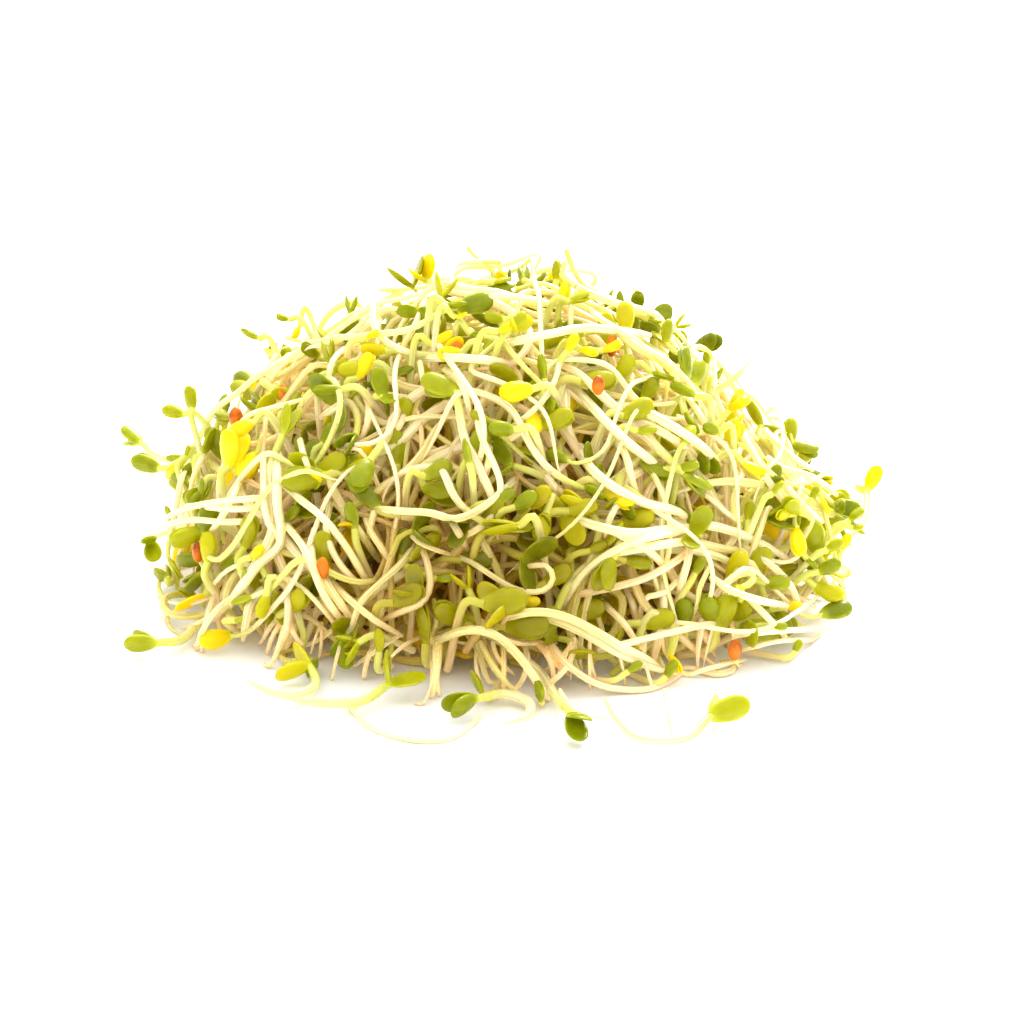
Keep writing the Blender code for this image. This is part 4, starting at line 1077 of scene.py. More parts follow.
def seen_distance(cover, x, y, lift):
    """How far the camera sees at a place in the picture, and whether it sees the heap or the table there."""
    far = np.arange(CAMERA_DISTANCE - COVER_HALF, CAMERA_DISTANCE + COVER_HALF, SEEN_STEP)
    places = np.array(CAMERA_EYE) + np.outer(far, sight(x, y))
    above = places[:, 2] - cover.at(cover.height, places) - lift
    hits = np.flatnonzero(above <= 0)
    if len(hits) and (places[hits[0], 1] < 0 or places[hits[0], 2] > lift + COVER_CELL):
        return far[hits[0]], True
    over = np.where((places[:, 1] < SEEN_DEEPEST) & (places[:, 2] > 0), above, math.inf)
    return far[int(over.argmin())], False


def seen_stem(cover, thick, tone, places):
    """A stem that rests on the cover and passes through places in the picture, or None."""
    step = FINE_STEP * PIXELS_PER_LENGTH
    places = smooth_line([Vector((x, y, 0)) for x, y in places], step)
    radius = thick / PIXELS_PER_LENGTH / 2 * SEEN_SLIM
    floor = np.array([seen_distance(cover, place.x, place.y, radius)[0] for place in places])
    near = floor.copy()
    for i in range(1, len(near)):
        near[i] = min(near[i], near[i - 1] + SEEN_SLOPE * FINE_STEP)
    for i in range(len(near) - 2, -1, -1):
        near[i] = min(near[i], near[i + 1] + SEEN_SLOPE * FINE_STEP)
    for _ in range(2 * BRIDGE_PASSES):
        near[1:-1] = np.minimum(near[1:-1], (near[:-2] + near[2:]) / 2 + BRIDGE_SAG)
    for _ in range(SMOOTH_PASSES):
        near[1:-1] = (near[:-2] + 2 * near[1:-1] + near[2:]) / 4
    ends = np.minimum(np.arange(len(near)), np.arange(len(near))[::-1])
    near += SEEN_DIVE * np.clip(1 - ends / SEEN_DIVE_POINTS, 0, 1) ** 2
    line = [CAMERA_EYE + sight(place.x, place.y) * far for place, far in zip(places, near)]
    for point in line:
        point.z = max(point.z, radius)
    _, from_root = distances(line)
    taper = np.sqrt(np.clip(from_root / TIP_LENGTH, 0, 1))
    radii = radius * (SEEN_TIP + (1 - SEEN_TIP) * taper)
    if not inside_box(np.array([tuple(point) for point in line]), radius):
        return None
    cover.add(line_balls(line, radii))
    return Drawn(line, radii, 0, [], 0, tone, 1.0)


def picture_path(x, y, heading, bend, wave, length):
    """Places in the picture along a path that starts at (x, y), bends evenly and waves once."""
    places = [(x, y)]
    for i in range(PATH_STEPS):
        x += length / PATH_STEPS * math.cos(heading)
        y -= length / PATH_STEPS * math.sin(heading)
        heading += (bend + wave * math.cos(2 * math.pi * i / PATH_STEPS)) / PATH_STEPS
        places.append((x, y))
    return places


def foot_row(x):
    """The row of the picture at which the heap meets the table."""
    return FOOT_MIDDLE[1] + FOOT_DROP * math.sqrt(max(1 - ((x - FOOT_MIDDLE[0]) / FOOT_HALF) ** 2, 0))


def sweeps(cover, draw, heads):
    """Long bent stems that pass beside these heads in the picture, and thin tips at the heap's foot."""
    found = []
    for _ in range(SWEEPS):
        x = FOOT_MIDDLE[0] + draw.uniform(-SWEEP_HALF, SWEEP_HALF)
        across = abs(x - FOOT_MIDDLE[0]) / SWEEP_HALF
        y = draw.uniform(SWEEP_TOP + (SWEEP_LOW - SWEEP_TOP) * across**2, foot_row(x) - SWEEP_ABOVE)
        flow = np.interp(x, *SWEEP_FLOW) + draw.gauss(0, SWEEP_SPREAD)
        length, bend = draw.uniform(*SWEEP_LENGTH), math.radians(draw.uniform(-SWEEP_BEND, SWEEP_BEND))
        places = picture_path(x, y, math.radians(flow), bend, draw.uniform(-SWEEP_WAVE, SWEEP_WAVE), length)
        if math.hypot((x - HOLLOW[0]) / HOLLOW[2], (y - HOLLOW[1]) / HOLLOW[3]) < 1:
            continue
        if places[-1][1] > foot_row(places[-1][0]):
            continue
        if np.hypot(*(np.array(places)[:, None] - heads).transpose(2, 0, 1)).min() < HEAD_CLEAR:
            continue
        found.append(seen_stem(cover, draw.uniform(*SWEEP_THICK), draw.uniform(*SWEEP_TONE), places))
    for _ in range(TIPS):
        x = FOOT_MIDDLE[0] + draw.uniform(-TIP_HALF, TIP_HALF)
        heading = math.radians(-90 + draw.gauss(0, TIP_SPREAD) + (x - FOOT_MIDDLE[0]) * TIP_FAN)
        bend = math.radians(draw.uniform(-SWEEP_BEND, SWEEP_BEND))
        places = picture_path(x, foot_row(x) - TIP_ABOVE, heading, bend, 0, draw.uniform(*TIP_REACH))
        found.append(seen_stem(cover, draw.uniform(*TIP_THICK), draw.uniform(*TIP_TONE), places))
    return found


def seen_head(cover, place, sunk, draw):
    """A leaf pair at a place in the picture, on a neck that runs into the heap, or None."""
    x, y, turn, length, tone, opening, roll = place
    far, hit = seen_distance(cover, x, y, 0.0)
    middle = CAMERA_EYE + sight(x, y) * (far + sunk - HEAD_NEARER)
    scale = length / PIXELS_PER_LENGTH / LEAF_LENGTH
    way = math.radians(turn)
    axis = CAMERA_RIGHT * math.cos(way) + CAMERA_UP * math.sin(way)
    away = outward(middle)
    if hit:
        axis -= away * min(axis.dot(away) - HEAD_UP, 0)
    axis.normalize()
    foot = middle - axis * LEAF_LENGTH * scale / 2
    foot.z = max(foot.z, LEAF_OFF_TABLE)
    below = float(cover.at(cover.height, np.array([tuple(foot)]))[0])
    root = Vector((foot.x * HEAD_ROOT, foot.y * HEAD_ROOT, max(min(below, foot.z) - HEAD_DIVE, STEM_RADIUS)))
    root -= axis * HEAD_DIVE
    root.z = max(root.z, STEM_RADIUS)
    bend = foot - axis * HEAD_BEND
    bend.z = max(bend.z, STEM_RADIUS)
    line = smooth_line([foot, bend, root], NECK_FINE_STEP)
    radii = np.full(len(line), NECK_RADIUS * (HEAD_NECK[0] + HEAD_NECK[1] * scale))
    toward = (CAMERA_BACK + away * HEAD_FACING).normalized()
    pairs = leaf_pair(axis, toward, roll, opening)
    leaves = [(foot, *pair, scale, draw.uniform(*HEAD_CURL)) for pair in pairs]
    tips = leaf_tips(leaves)
    if not inside_box(tips, 0) or tips[:, 2].min() < LEAF_THICKNESS / 2:
        return None
    return Drawn(line, radii, len(line), leaves, tone, draw.random(), BEHIND_SHADE if sunk else 1.0)


# Where everything lies: single sprouts and seed coats by name, the net and the shoots, the added sprouts
# by layer, and the stray seed coats with their turns
Plan = namedtuple("Plan", "singles coats net shoots layers strays")


@lru_cache(maxsize=1)
def planned():
    """Where everything of the heap lies: the solids' own pieces first, then the added sprouts."""
    tones = random.Random(FILL_SEED)
    room = Room()
    singles = {}
    for name, sprout in SPROUTS.items():
        line, leaves = place_single(sprout, room)
        fine = smooth_line(line, NECK_FINE_STEP)
        drawn = [(fine[0], along, across, scale * SINGLE_LEAF, 0.0) for along, across, scale in leaves]
        neck = math.floor(len(fine) * NECK_POINTS / len(line) + 0.5)
        radii = fine_radii(fine, NECK_RADIUS, ROOT_RADIUS, SINGLE_SLIM)
        singles[name] = Drawn(fine, radii, neck, drawn, sprout.tone, tones.random(), 1.0)
    coats = {name: place_coat(*place, room) for name, place in SEED_COATS.items()}
    net = []
    for points in place_net(room):
        line = smooth_line(points[::-1], FINE_STEP)
        radii = fine_radii(line, NECK_RADIUS, ROOT_RADIUS, NET_SLIM)
        net.append(Drawn(line, radii, 0, [], 0, tones.random(), NET_SHADE))
    shoots = []
    for points, leaves in place_shoots(room):
        line = smooth_line(points, FINE_STEP)
        drawn = [(line[0], along, across, scale, 0.0) for along, across, scale in leaves]
        radii = np.full(len(line), NECK_RADIUS)
        tone = tones.uniform(*SHOOT_TONE)
        shoots.append(Drawn(line, radii, len(line), drawn, tone, tones.random(), SHOOT_SHADE))

    cover = Cover()
    draw = random.Random(FILL_SEED)
    layers = {}
    for layer in LAYERS:
        if layer.name == "middle":
            for each in net + shoots:
                cover.add(line_balls(each.line, each.radii))
                if each.leaves:
                    cover.add(drawn_leaf_balls(each.leaves))
        if layer.name == "outer":
            for each in singles.values():
                cover.add(line_balls(each.line, each.radii))
                cover.add(drawn_leaf_balls(each.leaves))
        ceiling = cover.layer(layer.ceiling * MM)
        found = [lay_one(draw, layer, cover, ceiling) for _ in range(layer.count)]
        layers[layer.name] = [each for each in found if each]
    heads = shown_at(np.vstack([leaf_tips(each.leaves) for each in singles.values()]))
    stems = sweeps(cover, draw, heads)
    stems += [seen_stem(cover, *each) for each in SEEN_STEMS]
    heads = [seen_head(cover, each, 0.0, draw) for each in SEEN_HEADS]
    heads += [seen_head(cover, each, BEHIND, draw) for each in SEEN_BEHIND]
    layers["front"] = [each for each in stems + heads if each]
    strays = []
    for x, y, turn in SEEN_COATS:
        far, _ = seen_distance(cover, x, y, 0.0)
        strays.append((CAMERA_EYE + sight(x, y) * (far - COAT_THICKNESS / 4), turn))
    return Plan(singles, coats, net, shoots, layers, strays)


def add(tree, kind, inputs=(), **settings):
    """A new node of a tree, its settings given by name and its inputs set or linked."""
    made = tree.nodes.new(kind)
    for key, value in settings.items():
        setattr(made, key, value)
    for key, value in dict(inputs).items():
        if isinstance(value, bpy.types.NodeSocket):
            tree.links.new(value, made.inputs[key])
        else:
            made.inputs[key].default_value = value
    return made


def maths(tree, operation, *values):
    """The result of a Math node."""
    return add(tree, "ShaderNodeMath", enumerate(values), operation=operation).outputs[0]


def times(tree, *values):
    """The product of some numbers."""
    product = values[0]
    for value in values[1:]:
        product = maths(tree, "MULTIPLY", product, value)
    return product


def vectors(tree, operation, *values):
    """The result of a Vector Math node that gives a vector."""
    return add(tree, "ShaderNodeVectorMath", enumerate(values), operation=operation).outputs[0]


def scaled(tree, vector, factor):
    """A vector times a number."""
    return add(tree, "ShaderNodeVectorMath", {0: vector, "Scale": factor}, operation="SCALE").outputs[0]


def new_tree(name, sockets):
    """A Geometry Nodes tree with these named inputs, and its Group Input node."""
    tree = bpy.data.node_groups.new(name, "GeometryNodeTree")
    tree.is_modifier = True
    for socket, kind, default in sockets:
        made = tree.interface.new_socket(name=socket, in_out="INPUT", socket_type=kind)
        if default is not None:
            made.default_value = default
    tree.interface.new_socket(name="Piece", in_out="OUTPUT", socket_type="NodeSocketGeometry")
    return tree, tree.nodes.new("NodeGroupInput").outputs


def finish_tree(tree, geometry, material):
    """Ends a tree: real geometry, smooth faces and its material."""
    real = add(tree, "GeometryNodeRealizeInstances", {"Geometry": geometry})
    smooth = add(tree, "GeometryNodeSetShadeSmooth", {"Geometry": real.outputs[0]})
    painted = add(tree, "GeometryNodeSetMaterial", {"Geometry": smooth.outputs[0], "Material": material})
    add(tree, "NodeGroupOutput", {"Piece": painted.outputs[0]})


def named(tree, name, kind="FLOAT"):
    """A named attribute's value."""
    return add(tree, "GeometryNodeInputNamedAttribute", {"Name": name}, data_type=kind).outputs[0]


def stored(tree, geometry, name, value, kind="FLOAT"):
    """Geometry with a value kept at its points under a name."""
    node = add(
        tree,
        "GeometryNodeStoreNamedAttribute",
        {"Geometry": geometry, "Name": name, "Value": value},
        data_type=kind,
        domain="POINT",
    )
    return node.outputs[0]


def round_stems(tree, guide, sides, wobble):
    """Round, slightly uneven stems along a guide's edges, as thick as its radius attribute says."""
    circle = add(tree, "GeometryNodeCurvePrimitiveCircle", {"Resolution": sides, "Radius": 1.0})
    place = add(tree, "GeometryNodeInputPosition").outputs[0]
    profile = stored(tree, circle.outputs[0], "around", place, "FLOAT_VECTOR")
    lines = add(tree, "GeometryNodeMeshToCurve", {"Mesh": guide}).outputs[0]
    tubes = add(
        tree,
        "GeometryNodeCurveToMesh",
        {"Curve": lines, "Profile Curve": profile, "Scale": named(tree, "radius"), "Fill Caps": True},
    ).outputs[0]
    noise = add(tree, "ShaderNodeTexNoise", {"Vector": place, "Scale": WOBBLE_SCALE, "Detail": 1.0})
    uneven = times(tree, maths(tree, "SUBTRACT", noise.outputs[0], 0.5), wobble)
    normal = add(tree, "GeometryNodeInputNormal").outputs[0]
    moved = add(tree, "GeometryNodeSetPosition", {"Geometry": tubes, "Offset": scaled(tree, normal, uneven)})
    return stored(tree, moved.outputs[0], "leafness", 0.0)


def one_leaf(tree, given):
    """A seed leaf along +Z: round outside, flatter inside, cupped and arched towards +Y."""
    ball = add(
        tree,
        "GeometryNodeMeshUVSphere",
        {"Segments": given["Leaf sides"], "Rings": given["Leaf rings"], "Radius": 1.0},
    ).outputs[0]
    place = add(tree, "GeometryNodeInputPosition").outputs[0]
    x, y, z = add(tree, "ShaderNodeSeparateXYZ", {0: place}).outputs
    reach = maths(tree, "MULTIPLY_ADD", z, 0.5, 0.5)
    marked = stored(tree, ball, "reach", reach)
    marked = stored(tree, marked, "side", x)
    marked = stored(tree, marked, "inner", y)
    fuller = maths(tree, "MULTIPLY_ADD", reach, LEAF_FULLER, LEAF_FOOT_WIDTH)
    across = times(tree, x, fuller, given["Width"], 0.5)
    inside = maths(tree, "GREATER_THAN", y, 0.0)
    flatter = maths(tree, "MULTIPLY_ADD", inside, -LEAF_FLATTER, 1.0)
    through = times(tree, y, flatter, given["Thickness"], 0.5)
    cupped = times(tree, x, x, given["Cup"])
    arched = times(tree, reach, reach, given["Arch"])
    out = maths(tree, "ADD", through, maths(tree, "ADD", cupped, arched))
    up = maths(tree, "MULTIPLY_ADD", reach, given["Length"], -LEAF_SUNK)
    moved = add(tree, "ShaderNodeCombineXYZ", {0: across, 1: out, 2: up}).outputs[0]
    return add(tree, "GeometryNodeSetPosition", {"Geometry": marked, "Position": moved}).outputs[0]


# The inputs of the two trees, with their defaults
STEM_SOCKETS = (
    ("Guide", "NodeSocketGeometry", None),
    ("Sides", "NodeSocketInt", 8),
    ("Wobble", "NodeSocketFloat", 0.05 * MM),
    ("Material", "NodeSocketMaterial", None),
)
LEAF_SOCKETS = (
    *STEM_SOCKETS,
    ("Length", "NodeSocketFloat", LEAF_LENGTH),
    ("Width", "NodeSocketFloat", LEAF_WIDTH),
    ("Thickness", "NodeSocketFloat", LEAF_THICKNESS),
    ("Arch", "NodeSocketFloat", LEAF_ARCH),
    ("Cup", "NodeSocketFloat", 0.2 * MM),
    ("Leaf sides", "NodeSocketInt", 12),
    ("Leaf rings", "NodeSocketInt", 9),
)


def stems_tree():
    """The tree of the pieces that are stems."""
    tree, given = new_tree("Laid stems", STEM_SOCKETS)
    stems = round_stems(tree, given["Guide"], given["Sides"], given["Wobble"])
    finish_tree(tree, stems, given["Material"])


def leaves_tree():
    """The tree of the pieces that are green necks with their leaf pairs."""
    tree, given = new_tree("Leaf pairs on necks", LEAF_SOCKETS)
    necks = round_stems(tree, given["Guide"], given["Sides"], given["Wobble"])
    is_leaf = named(tree, "is_leaf", "BOOLEAN")
    feet = add(tree, "GeometryNodeMeshToPoints", {"Mesh": given["Guide"], "Selection": is_leaf})
    along, across = named(tree, "along", "FLOAT_VECTOR"), named(tree, "across", "FLOAT_VECTOR")
    turned = add(
        tree,
        "FunctionNodeAxesToRotation",
        {"Primary Axis": along, "Secondary Axis": across},
        primary_axis="Z",
        secondary_axis="X",
    )
    leaves = add(
        tree,
        "GeometryNodeInstanceOnPoints",
        {
            "Points": feet.outputs[0],
            "Instance": one_leaf(tree, given),
            "Rotation": turned.outputs[0],
            "Scale": named(tree, "leaf_scale", "FLOAT_VECTOR"),
        },
    )
    real = add(tree, "GeometryNodeRealizeInstances", {"Geometry": leaves.outputs[0]}).outputs[0]
    facing = vectors(tree, "CROSS_PRODUCT", along, across)
    reach = named(tree, "reach")
    curl = scaled(tree, facing, times(tree, reach, reach, named(tree, "curl")))
    moved = add(tree, "GeometryNodeSetPosition", {"Geometry": real, "Offset": curl}).outputs[0]
    moved = stored(tree, moved, "leafness", 1.0)
    both = add(tree, "GeometryNodeJoinGeometry")
    for part in (necks, moved):
        tree.links.new(part, both.inputs[0])
    finish_tree(tree, both.outputs[0], given["Material"])


# What a guide's points carry for the trees and the materials
GUIDE_VALUES = ("radius", "from_head", "from_root", "tone", "stem_tone", "shade", "curl", "is_leaf")
GUIDE_TURNS = ("along", "across", "leaf_scale")


def guide_mesh(name, lines, leaves):
    """A mesh of edges along lines, and of loose points at the feet of leaves, with what the trees read."""
    points, edges = [], []
    values = {key: [] for key in GUIDE_VALUES}
    turns = {key: [] for key in GUIDE_TURNS}

    def keep(point, radius=0.0, from_head=0.0, from_root=1.0, tone=0.0, stem_tone=0.0, shade=1.0,
             curl=0.0, is_leaf=False, along=(0, 0, 1), across=(1, 0, 0), leaf_scale=(1, 1, 1)):
        points.append(tuple(point))
        given = (radius, from_head, from_root, tone, stem_tone, shade, curl, is_leaf)
        for key, value in zip(values, given):
            values[key].append(value)
        for key, value in zip(turns, (along, across, leaf_scale)):
            turns[key].append(tuple(value))

    for line, radii, from_head, from_root, tones in lines:
        first = len(points)
        for point, radius, head_far, root_far in zip(line, radii, from_head, from_root):
            keep(point, radius, head_far, root_far, *tones)
        edges.extend((i, i + 1) for i in range(first, len(points) - 1))
    for (foot, along, across, scale, curl), tones in leaves:
        size = (scale, LEAF_DEPTH[0] + LEAF_DEPTH[1] * scale, scale)
        keep(foot, 0.0, 0.0, 1.0, *tones, curl * MM, True, along, across, size)
    mesh = bpy.data.meshes.new(name)
    mesh.from_pydata(points, edges, [])
    for key, found in values.items():
        kind = "BOOLEAN" if key == "is_leaf" else "FLOAT"
        mesh.attributes.new(key, kind, "POINT").data.foreach_set("value", found)
    for key, found in turns.items():
        mesh.attributes.new(key, "FLOAT_VECTOR", "POINT").data.foreach_set("vector", np.ravel(found))
    return mesh


def grown(name, mesh, tree, inputs):
    """A piece of the heap: what a tree grows on a guide, as a plain mesh that stays above the table."""
    piece = bpy.data.objects.new(name, mesh)
    bpy.context.scene.collection.objects.link(piece)
    growth = piece.modifiers.new("Growth", "NODES")
    growth.node_group = tree
    for socket in tree.interface.items_tree:
        if socket.in_out == "INPUT" and socket.name in inputs:
            growth[socket.identifier] = inputs[socket.name]
    bpy.context.view_layer.update()
    made = bpy.data.meshes.new_from_object(piece.evaluated_get(bpy.context.evaluated_depsgraph_get()))
    places = np.empty(len(made.vertices) * 3)
    made.vertices.foreach_get("co", places)
    places[2::3] = np.maximum(places[2::3], 0)
    made.vertices.foreach_set("co", places)
    piece.modifiers.remove(growth)
    piece.data = made
    made.name = name
    bpy.data.meshes.remove(mesh)
    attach(piece, BODY)
    return piece


def distances(line):
    """Each point's distance from the head and from the root, in metres."""
    steps = [(b - a).length for a, b in zip(line, line[1:])]
    from_head = np.cumsum([0.0, *steps])
    return from_head, from_head[-1] - from_head


def tones_of(sprout):
    """What colours a sprout: how yellow its leaves are, which pale its stem is, and how dim its painted shade
    makes it.
    """
    return sprout.tone, sprout.stem_tone, sprout.shade


def stems_piece(name, sprouts, sides, finish="pale_stem"):
    """One piece of the pale stems of some sprouts, below their necks. One with no leaves has no green."""
    lines = []
    for each in sprouts:
        from_head, from_root = distances(each.line)
        from_head = from_head + (0 if each.leaves else GREEN_LENGTH)
        at = max(each.neck - 1, 0)
        if len(each.line) - at > 1:
            lines.append((each.line[at:], each.radii[at:], from_head[at:], from_root[at:], tones_of(each)))
    sizes = bpy.context.scene.heap_sizes
    inputs = {"Sides": sides, "Wobble": sizes.wobble, "Material": bpy.data.materials[finish]}
    return grown(name, guide_mesh(name, lines, []), bpy.data.node_groups["Laid stems"], inputs)


def leaves_piece(name, sprouts, sides, leaf_mesh):
    """One piece of the necks and leaf pairs of some sprouts, with leaves of so many sides and rings."""
    lines, leaves = [], []
    for each in sprouts:
        from_head, from_root = distances(each.line)
        if each.neck > 1:
            to = each.neck
            lines.append((each.line[:to], each.radii[:to], from_head[:to], from_root[:to], tones_of(each)))
        leaves.extend((leaf, tones_of(each)) for leaf in each.leaves)
    sizes = bpy.context.scene.heap_sizes
    inputs = {
        "Sides": sides,
        "Wobble": sizes.wobble,
        "Material": bpy.data.materials["seed_leaf"],
        "Cup": sizes.leaf_cup,
        "Leaf sides": leaf_mesh[0],
        "Leaf rings": leaf_mesh[1],
    }
    tree = bpy.data.node_groups["Leaf pairs on necks"]
    return grown(name, guide_mesh(name, lines, leaves), tree, inputs)


# Colours of the finishes, as (red, green, blue), or (place on a ramp, red, green, blue)
FULL_LIGHT = (1.0, 1.0, 1.0)
STEM_GREEN = (0.0, 0.68, 0.67, 0.13)
STEM_CREAM = (0.35, 0.88, 0.82, 0.44)
STEM_TAN = (1.0, 0.88, 0.67, 0.40)
# Painted shade: the dim colour that stems are multiplied by deep in the heap
STEM_PAINTED_SHADE = (0.72, 0.54, 0.09)
# Pale streaks, partly the stem's own streaks and partly a painted highlight
PALE_LINE_AND_HIGHLIGHT = (0.98, 0.94, 0.68)
CORE_COLOUR = (0.56, 0.44, 0.13)
LEAF_GREENS = (
    (0.0, 0.13, 0.16, 0.001),
    (0.3, 0.22, 0.25, 0.001),
    (0.55, 0.38, 0.37, 0.001),
    (0.75, 0.66, 0.56, 0.002),
    (1.0, 0.96, 0.66, 0.002),
)
# Painted shade: the dim colour that leaves are multiplied by deep in the heap
LEAF_PAINTED_SHADE = (0.80, 0.66, 0.5)
MOTTLE_COLOUR = (0.50, 0.50, 0.01)
RIM_COLOUR = (0.58, 0.62, 0.04)
FOOT_COLOUR = (0.60, 0.64, 0.04)
# Painted shade: the heart's dark browns stand in for the shade seen deep between the stems
HEART_PAINTED_SHADE = (
    (0.30, 0.16, 0.06, 0.004),
    (0.45, 0.30, 0.16, 0.01),
    (0.58, 0.34, 0.26, 0.015),
    (0.75, 0.55, 0.45, 0.06),
)
COAT_DARK = (0.30, 0.05, 0.004)

# The streaks along a stem, pale lines that are partly its own streaks and partly a painted highlight,
# and dark cores: their scale round it and along it, where in the noise they begin and are full, and their
# strength
LINE_STREAKS = (3.2, 170.0)
LINE_EDGE = (0.5, 0.66)
LINE_SHARE = 0.45
CORE_STREAKS = (2.3, 110.0)
CORE_EDGE = (0.52, 0.7)
CORE_SHARE = 0.6

# How a stem is greener towards its head and tanner towards its root: from, to, and the shares there. The
# tan is weaker on a green stem
GREEN_LENGTH = 8 * MM
STEM_GREENING = (0.5 * MM, GREEN_LENGTH, 0.9, 0.0)
STEM_TANNING = (0.0, 10 * MM, 0.75, 0.0)
TANNED_TONES = (0.1, 0.8, 0.35, 1.0)

# A leaf's pale rim and foot, in shares of its width and length, and the strength of a painted glow
LEAF_RIM = (0.72, 1.0, 0.0, 0.35)
LEAF_FOOT = (0.0, 0.35, 0.6, 0.0)
# Painted glow: stems and leaves give off a little light of their own colour, though they are no lamps
PAINTED_GLOW = 0.1

# Noise on the surfaces, as (scale, detail), and how it becomes patches, roughness or relief
STEM_GRAIN = (900.0, 2.0)
STEM_ROUGHNESS = (0.3, 0.7, 0.24, 0.42)
LEAF_MOTTLE = (700.0, 3.0)
MOTTLE_EDGE = (0.35, 0.7)
MOTTLE_SHARE = 0.16
LEAF_GRAIN = (1100.0, 2.0)
LEAF_ROUGHNESS = (0.3, 0.7, 0.22, 0.36)
LEAF_SKIN = (1800.0, 3.0)
LEAF_RELIEF = (0.3, 0.06 * MM)
HEART_PATCHES = (260.0, 4.0)
HEART_LUMPS = (520.0, 4.0)
HEART_RELIEF = (0.8, 0.8 * MM)
COAT_PATCHES = (500.0, 3.0)
COAT_EDGE = (0.4, 0.75)

# A warm painted shade between the stems low in the heap's middle: where it is, across and up, how far it
# reaches and fades, its colour, and how much full light the foremost stems keep there
THICK_MIDDLE = (-4 * MM, 13 * MM)
THICK_HALF = (30 * MM, 14 * MM)
THICK_FADE = (0.1, 1.0)
MIDDLE_PAINTED_SHADE = (0.62, 0.50, 0.13)
THICK_FRONT = (0.4, 1.0, 0.0, 0.42)

# Constants of the finishes
WET_STEM = {
    "Subsurface Weight": 0.8,
    "Subsurface Radius": (1.0, 0.9, 0.45),
    "Subsurface Scale": 1.5 * MM,
    "Specular IOR Level": 0.35,
    "Coat Weight": 0.2,
    "Coat Roughness": 0.15,
}
DEEP_STEM = {"Roughness": 0.45, "Specular IOR Level": 0.35}
FRESH_LEAF = {
    "Subsurface Weight": 0.35,
    "Subsurface Radius": (0.8, 1.0, 0.12),
    "Subsurface Scale": 0.7 * MM,
    "Specular IOR Level": 0.12,
    "Coat Weight": 0.15,
    "Coat Roughness": 0.08,
}
WET_HEART = {"Roughness": 0.55}
DRY_COAT = {"Roughness": 0.4, "Specular IOR Level": 0.2, "Coat Weight": 0.12, "Coat Roughness": 0.1}


def shader_tree(name):
    """A new material's node tree and its Principled node. No surface counts as a lamp."""
    made = bpy.data.materials.new(name)
    made.cycles.emission_sampling = "NONE"
    made.use_nodes = True
    tree = made.node_tree
    shader = tree.nodes["Principled BSDF"]
    shader.subsurface_method = "BURLEY"
    return tree, shader


def attribute(tree, name, output="Fac"):
    """A surface's named attribute, as a number or a vector."""
    return add(tree, "ShaderNodeAttribute", attribute_name=name).outputs[output]


def ramp(tree, factor, stops):
    """Colours blended along a factor. Each stop is (place, red, green, blue)."""
    made = add(tree, "ShaderNodeValToRGB", {"Fac": factor})
    points = made.color_ramp.elements
    while len(points) < len(stops):
        points.new(0.5)
    for point, (place, *colour) in zip(points, stops):
        point.position = place
        point.color = (*colour, 1)
    return made.outputs[0]


def mixed(tree, factor, first, second, blend="MIX"):
    """Two colours mixed by a factor."""
    made = add(tree, "ShaderNodeMix", {0: factor}, data_type="RGBA", blend_type=blend)
    for index, colour in ((6, first), (7, second)):
        if isinstance(colour, bpy.types.NodeSocket):
            tree.links.new(colour, made.inputs[index])
        else:
            made.inputs[index].default_value = (*colour, 1)
    return made.outputs[2]


def eased(tree, value, low, high, out_low=0.0, out_high=1.0):
    """A value carried smoothly from one range to another."""
    made = add(
        tree,
        "ShaderNodeMapRange",
        {"Value": value, "From Min": low, "From Max": high, "To Min": out_low, "To Max": out_high},
        interpolation_type="SMOOTHSTEP",
    )
    return made.outputs[0]


def streaks(tree, scale, length):
    """Fine streaks that run along a stem."""
    around = attribute(tree, "around", "Vector")
    along = times(tree, attribute(tree, "from_head"), length)
    lift = add(tree, "ShaderNodeCombineXYZ", {2: along}).outputs[0]
    place = vectors(tree, "ADD", scaled(tree, around, scale), lift)
    return add(tree, "ShaderNodeTexNoise", {"Vector": place, "Scale": 1.0, "Detail": 0.0}).outputs[0]


def object_noise(tree, scale, detail):
    """Noise in the object's own coordinates."""
    place = add(tree, "ShaderNodeTexCoord").outputs["Object"]
    return add(tree, "ShaderNodeTexNoise", {"Vector": place, "Scale": scale, "Detail": detail}).outputs[0]


def relief(tree, shader, height, strength, distance):
    """Fine relief on a surface."""
    bump = add(tree, "ShaderNodeBump", {"Height": height, "Strength": strength, "Distance": distance})
    tree.links.new(bump.outputs[0], shader.inputs["Normal"])


def gloss(shader, finish):
    """Sets the constants of a finish."""
    for name, value in finish.items():
        shader.inputs[name].default_value = value


def with_painted_shade(tree, colour, dim):
    """A colour in painted shade: multiplied by a dim one deep in the heap, and by a warm painted shade low in
    its middle.
    """
    shade = attribute(tree, "shade")
    # Painted shade that is darker the deeper a sprout lies in the heap
    light = mixed(tree, shade, dim, FULL_LIGHT)
    place = add(tree, "ShaderNodeSeparateXYZ", {0: add(tree, "ShaderNodeTexCoord").outputs["Object"]})
    shares = []
    for axis, middle, half in zip((0, 2), THICK_MIDDLE, THICK_HALF):
        share = times(tree, maths(tree, "SUBTRACT", place.outputs[axis], middle), 1 / half)
        shares.append(times(tree, share, share))
    far = maths(tree, "ADD", *shares)
    front = eased(tree, shade, *THICK_FRONT)
    near = maths(tree, "MINIMUM", maths(tree, "ADD", eased(tree, far, *THICK_FADE), front), 1.0)
    # Painted shade of the heap's hollow middle, of which the foremost stems keep less
    thin = mixed(tree, near, MIDDLE_PAINTED_SHADE, FULL_LIGHT)
    return mixed(tree, 1.0, mixed(tree, 1.0, colour, light, "MULTIPLY"), thin, "MULTIPLY")


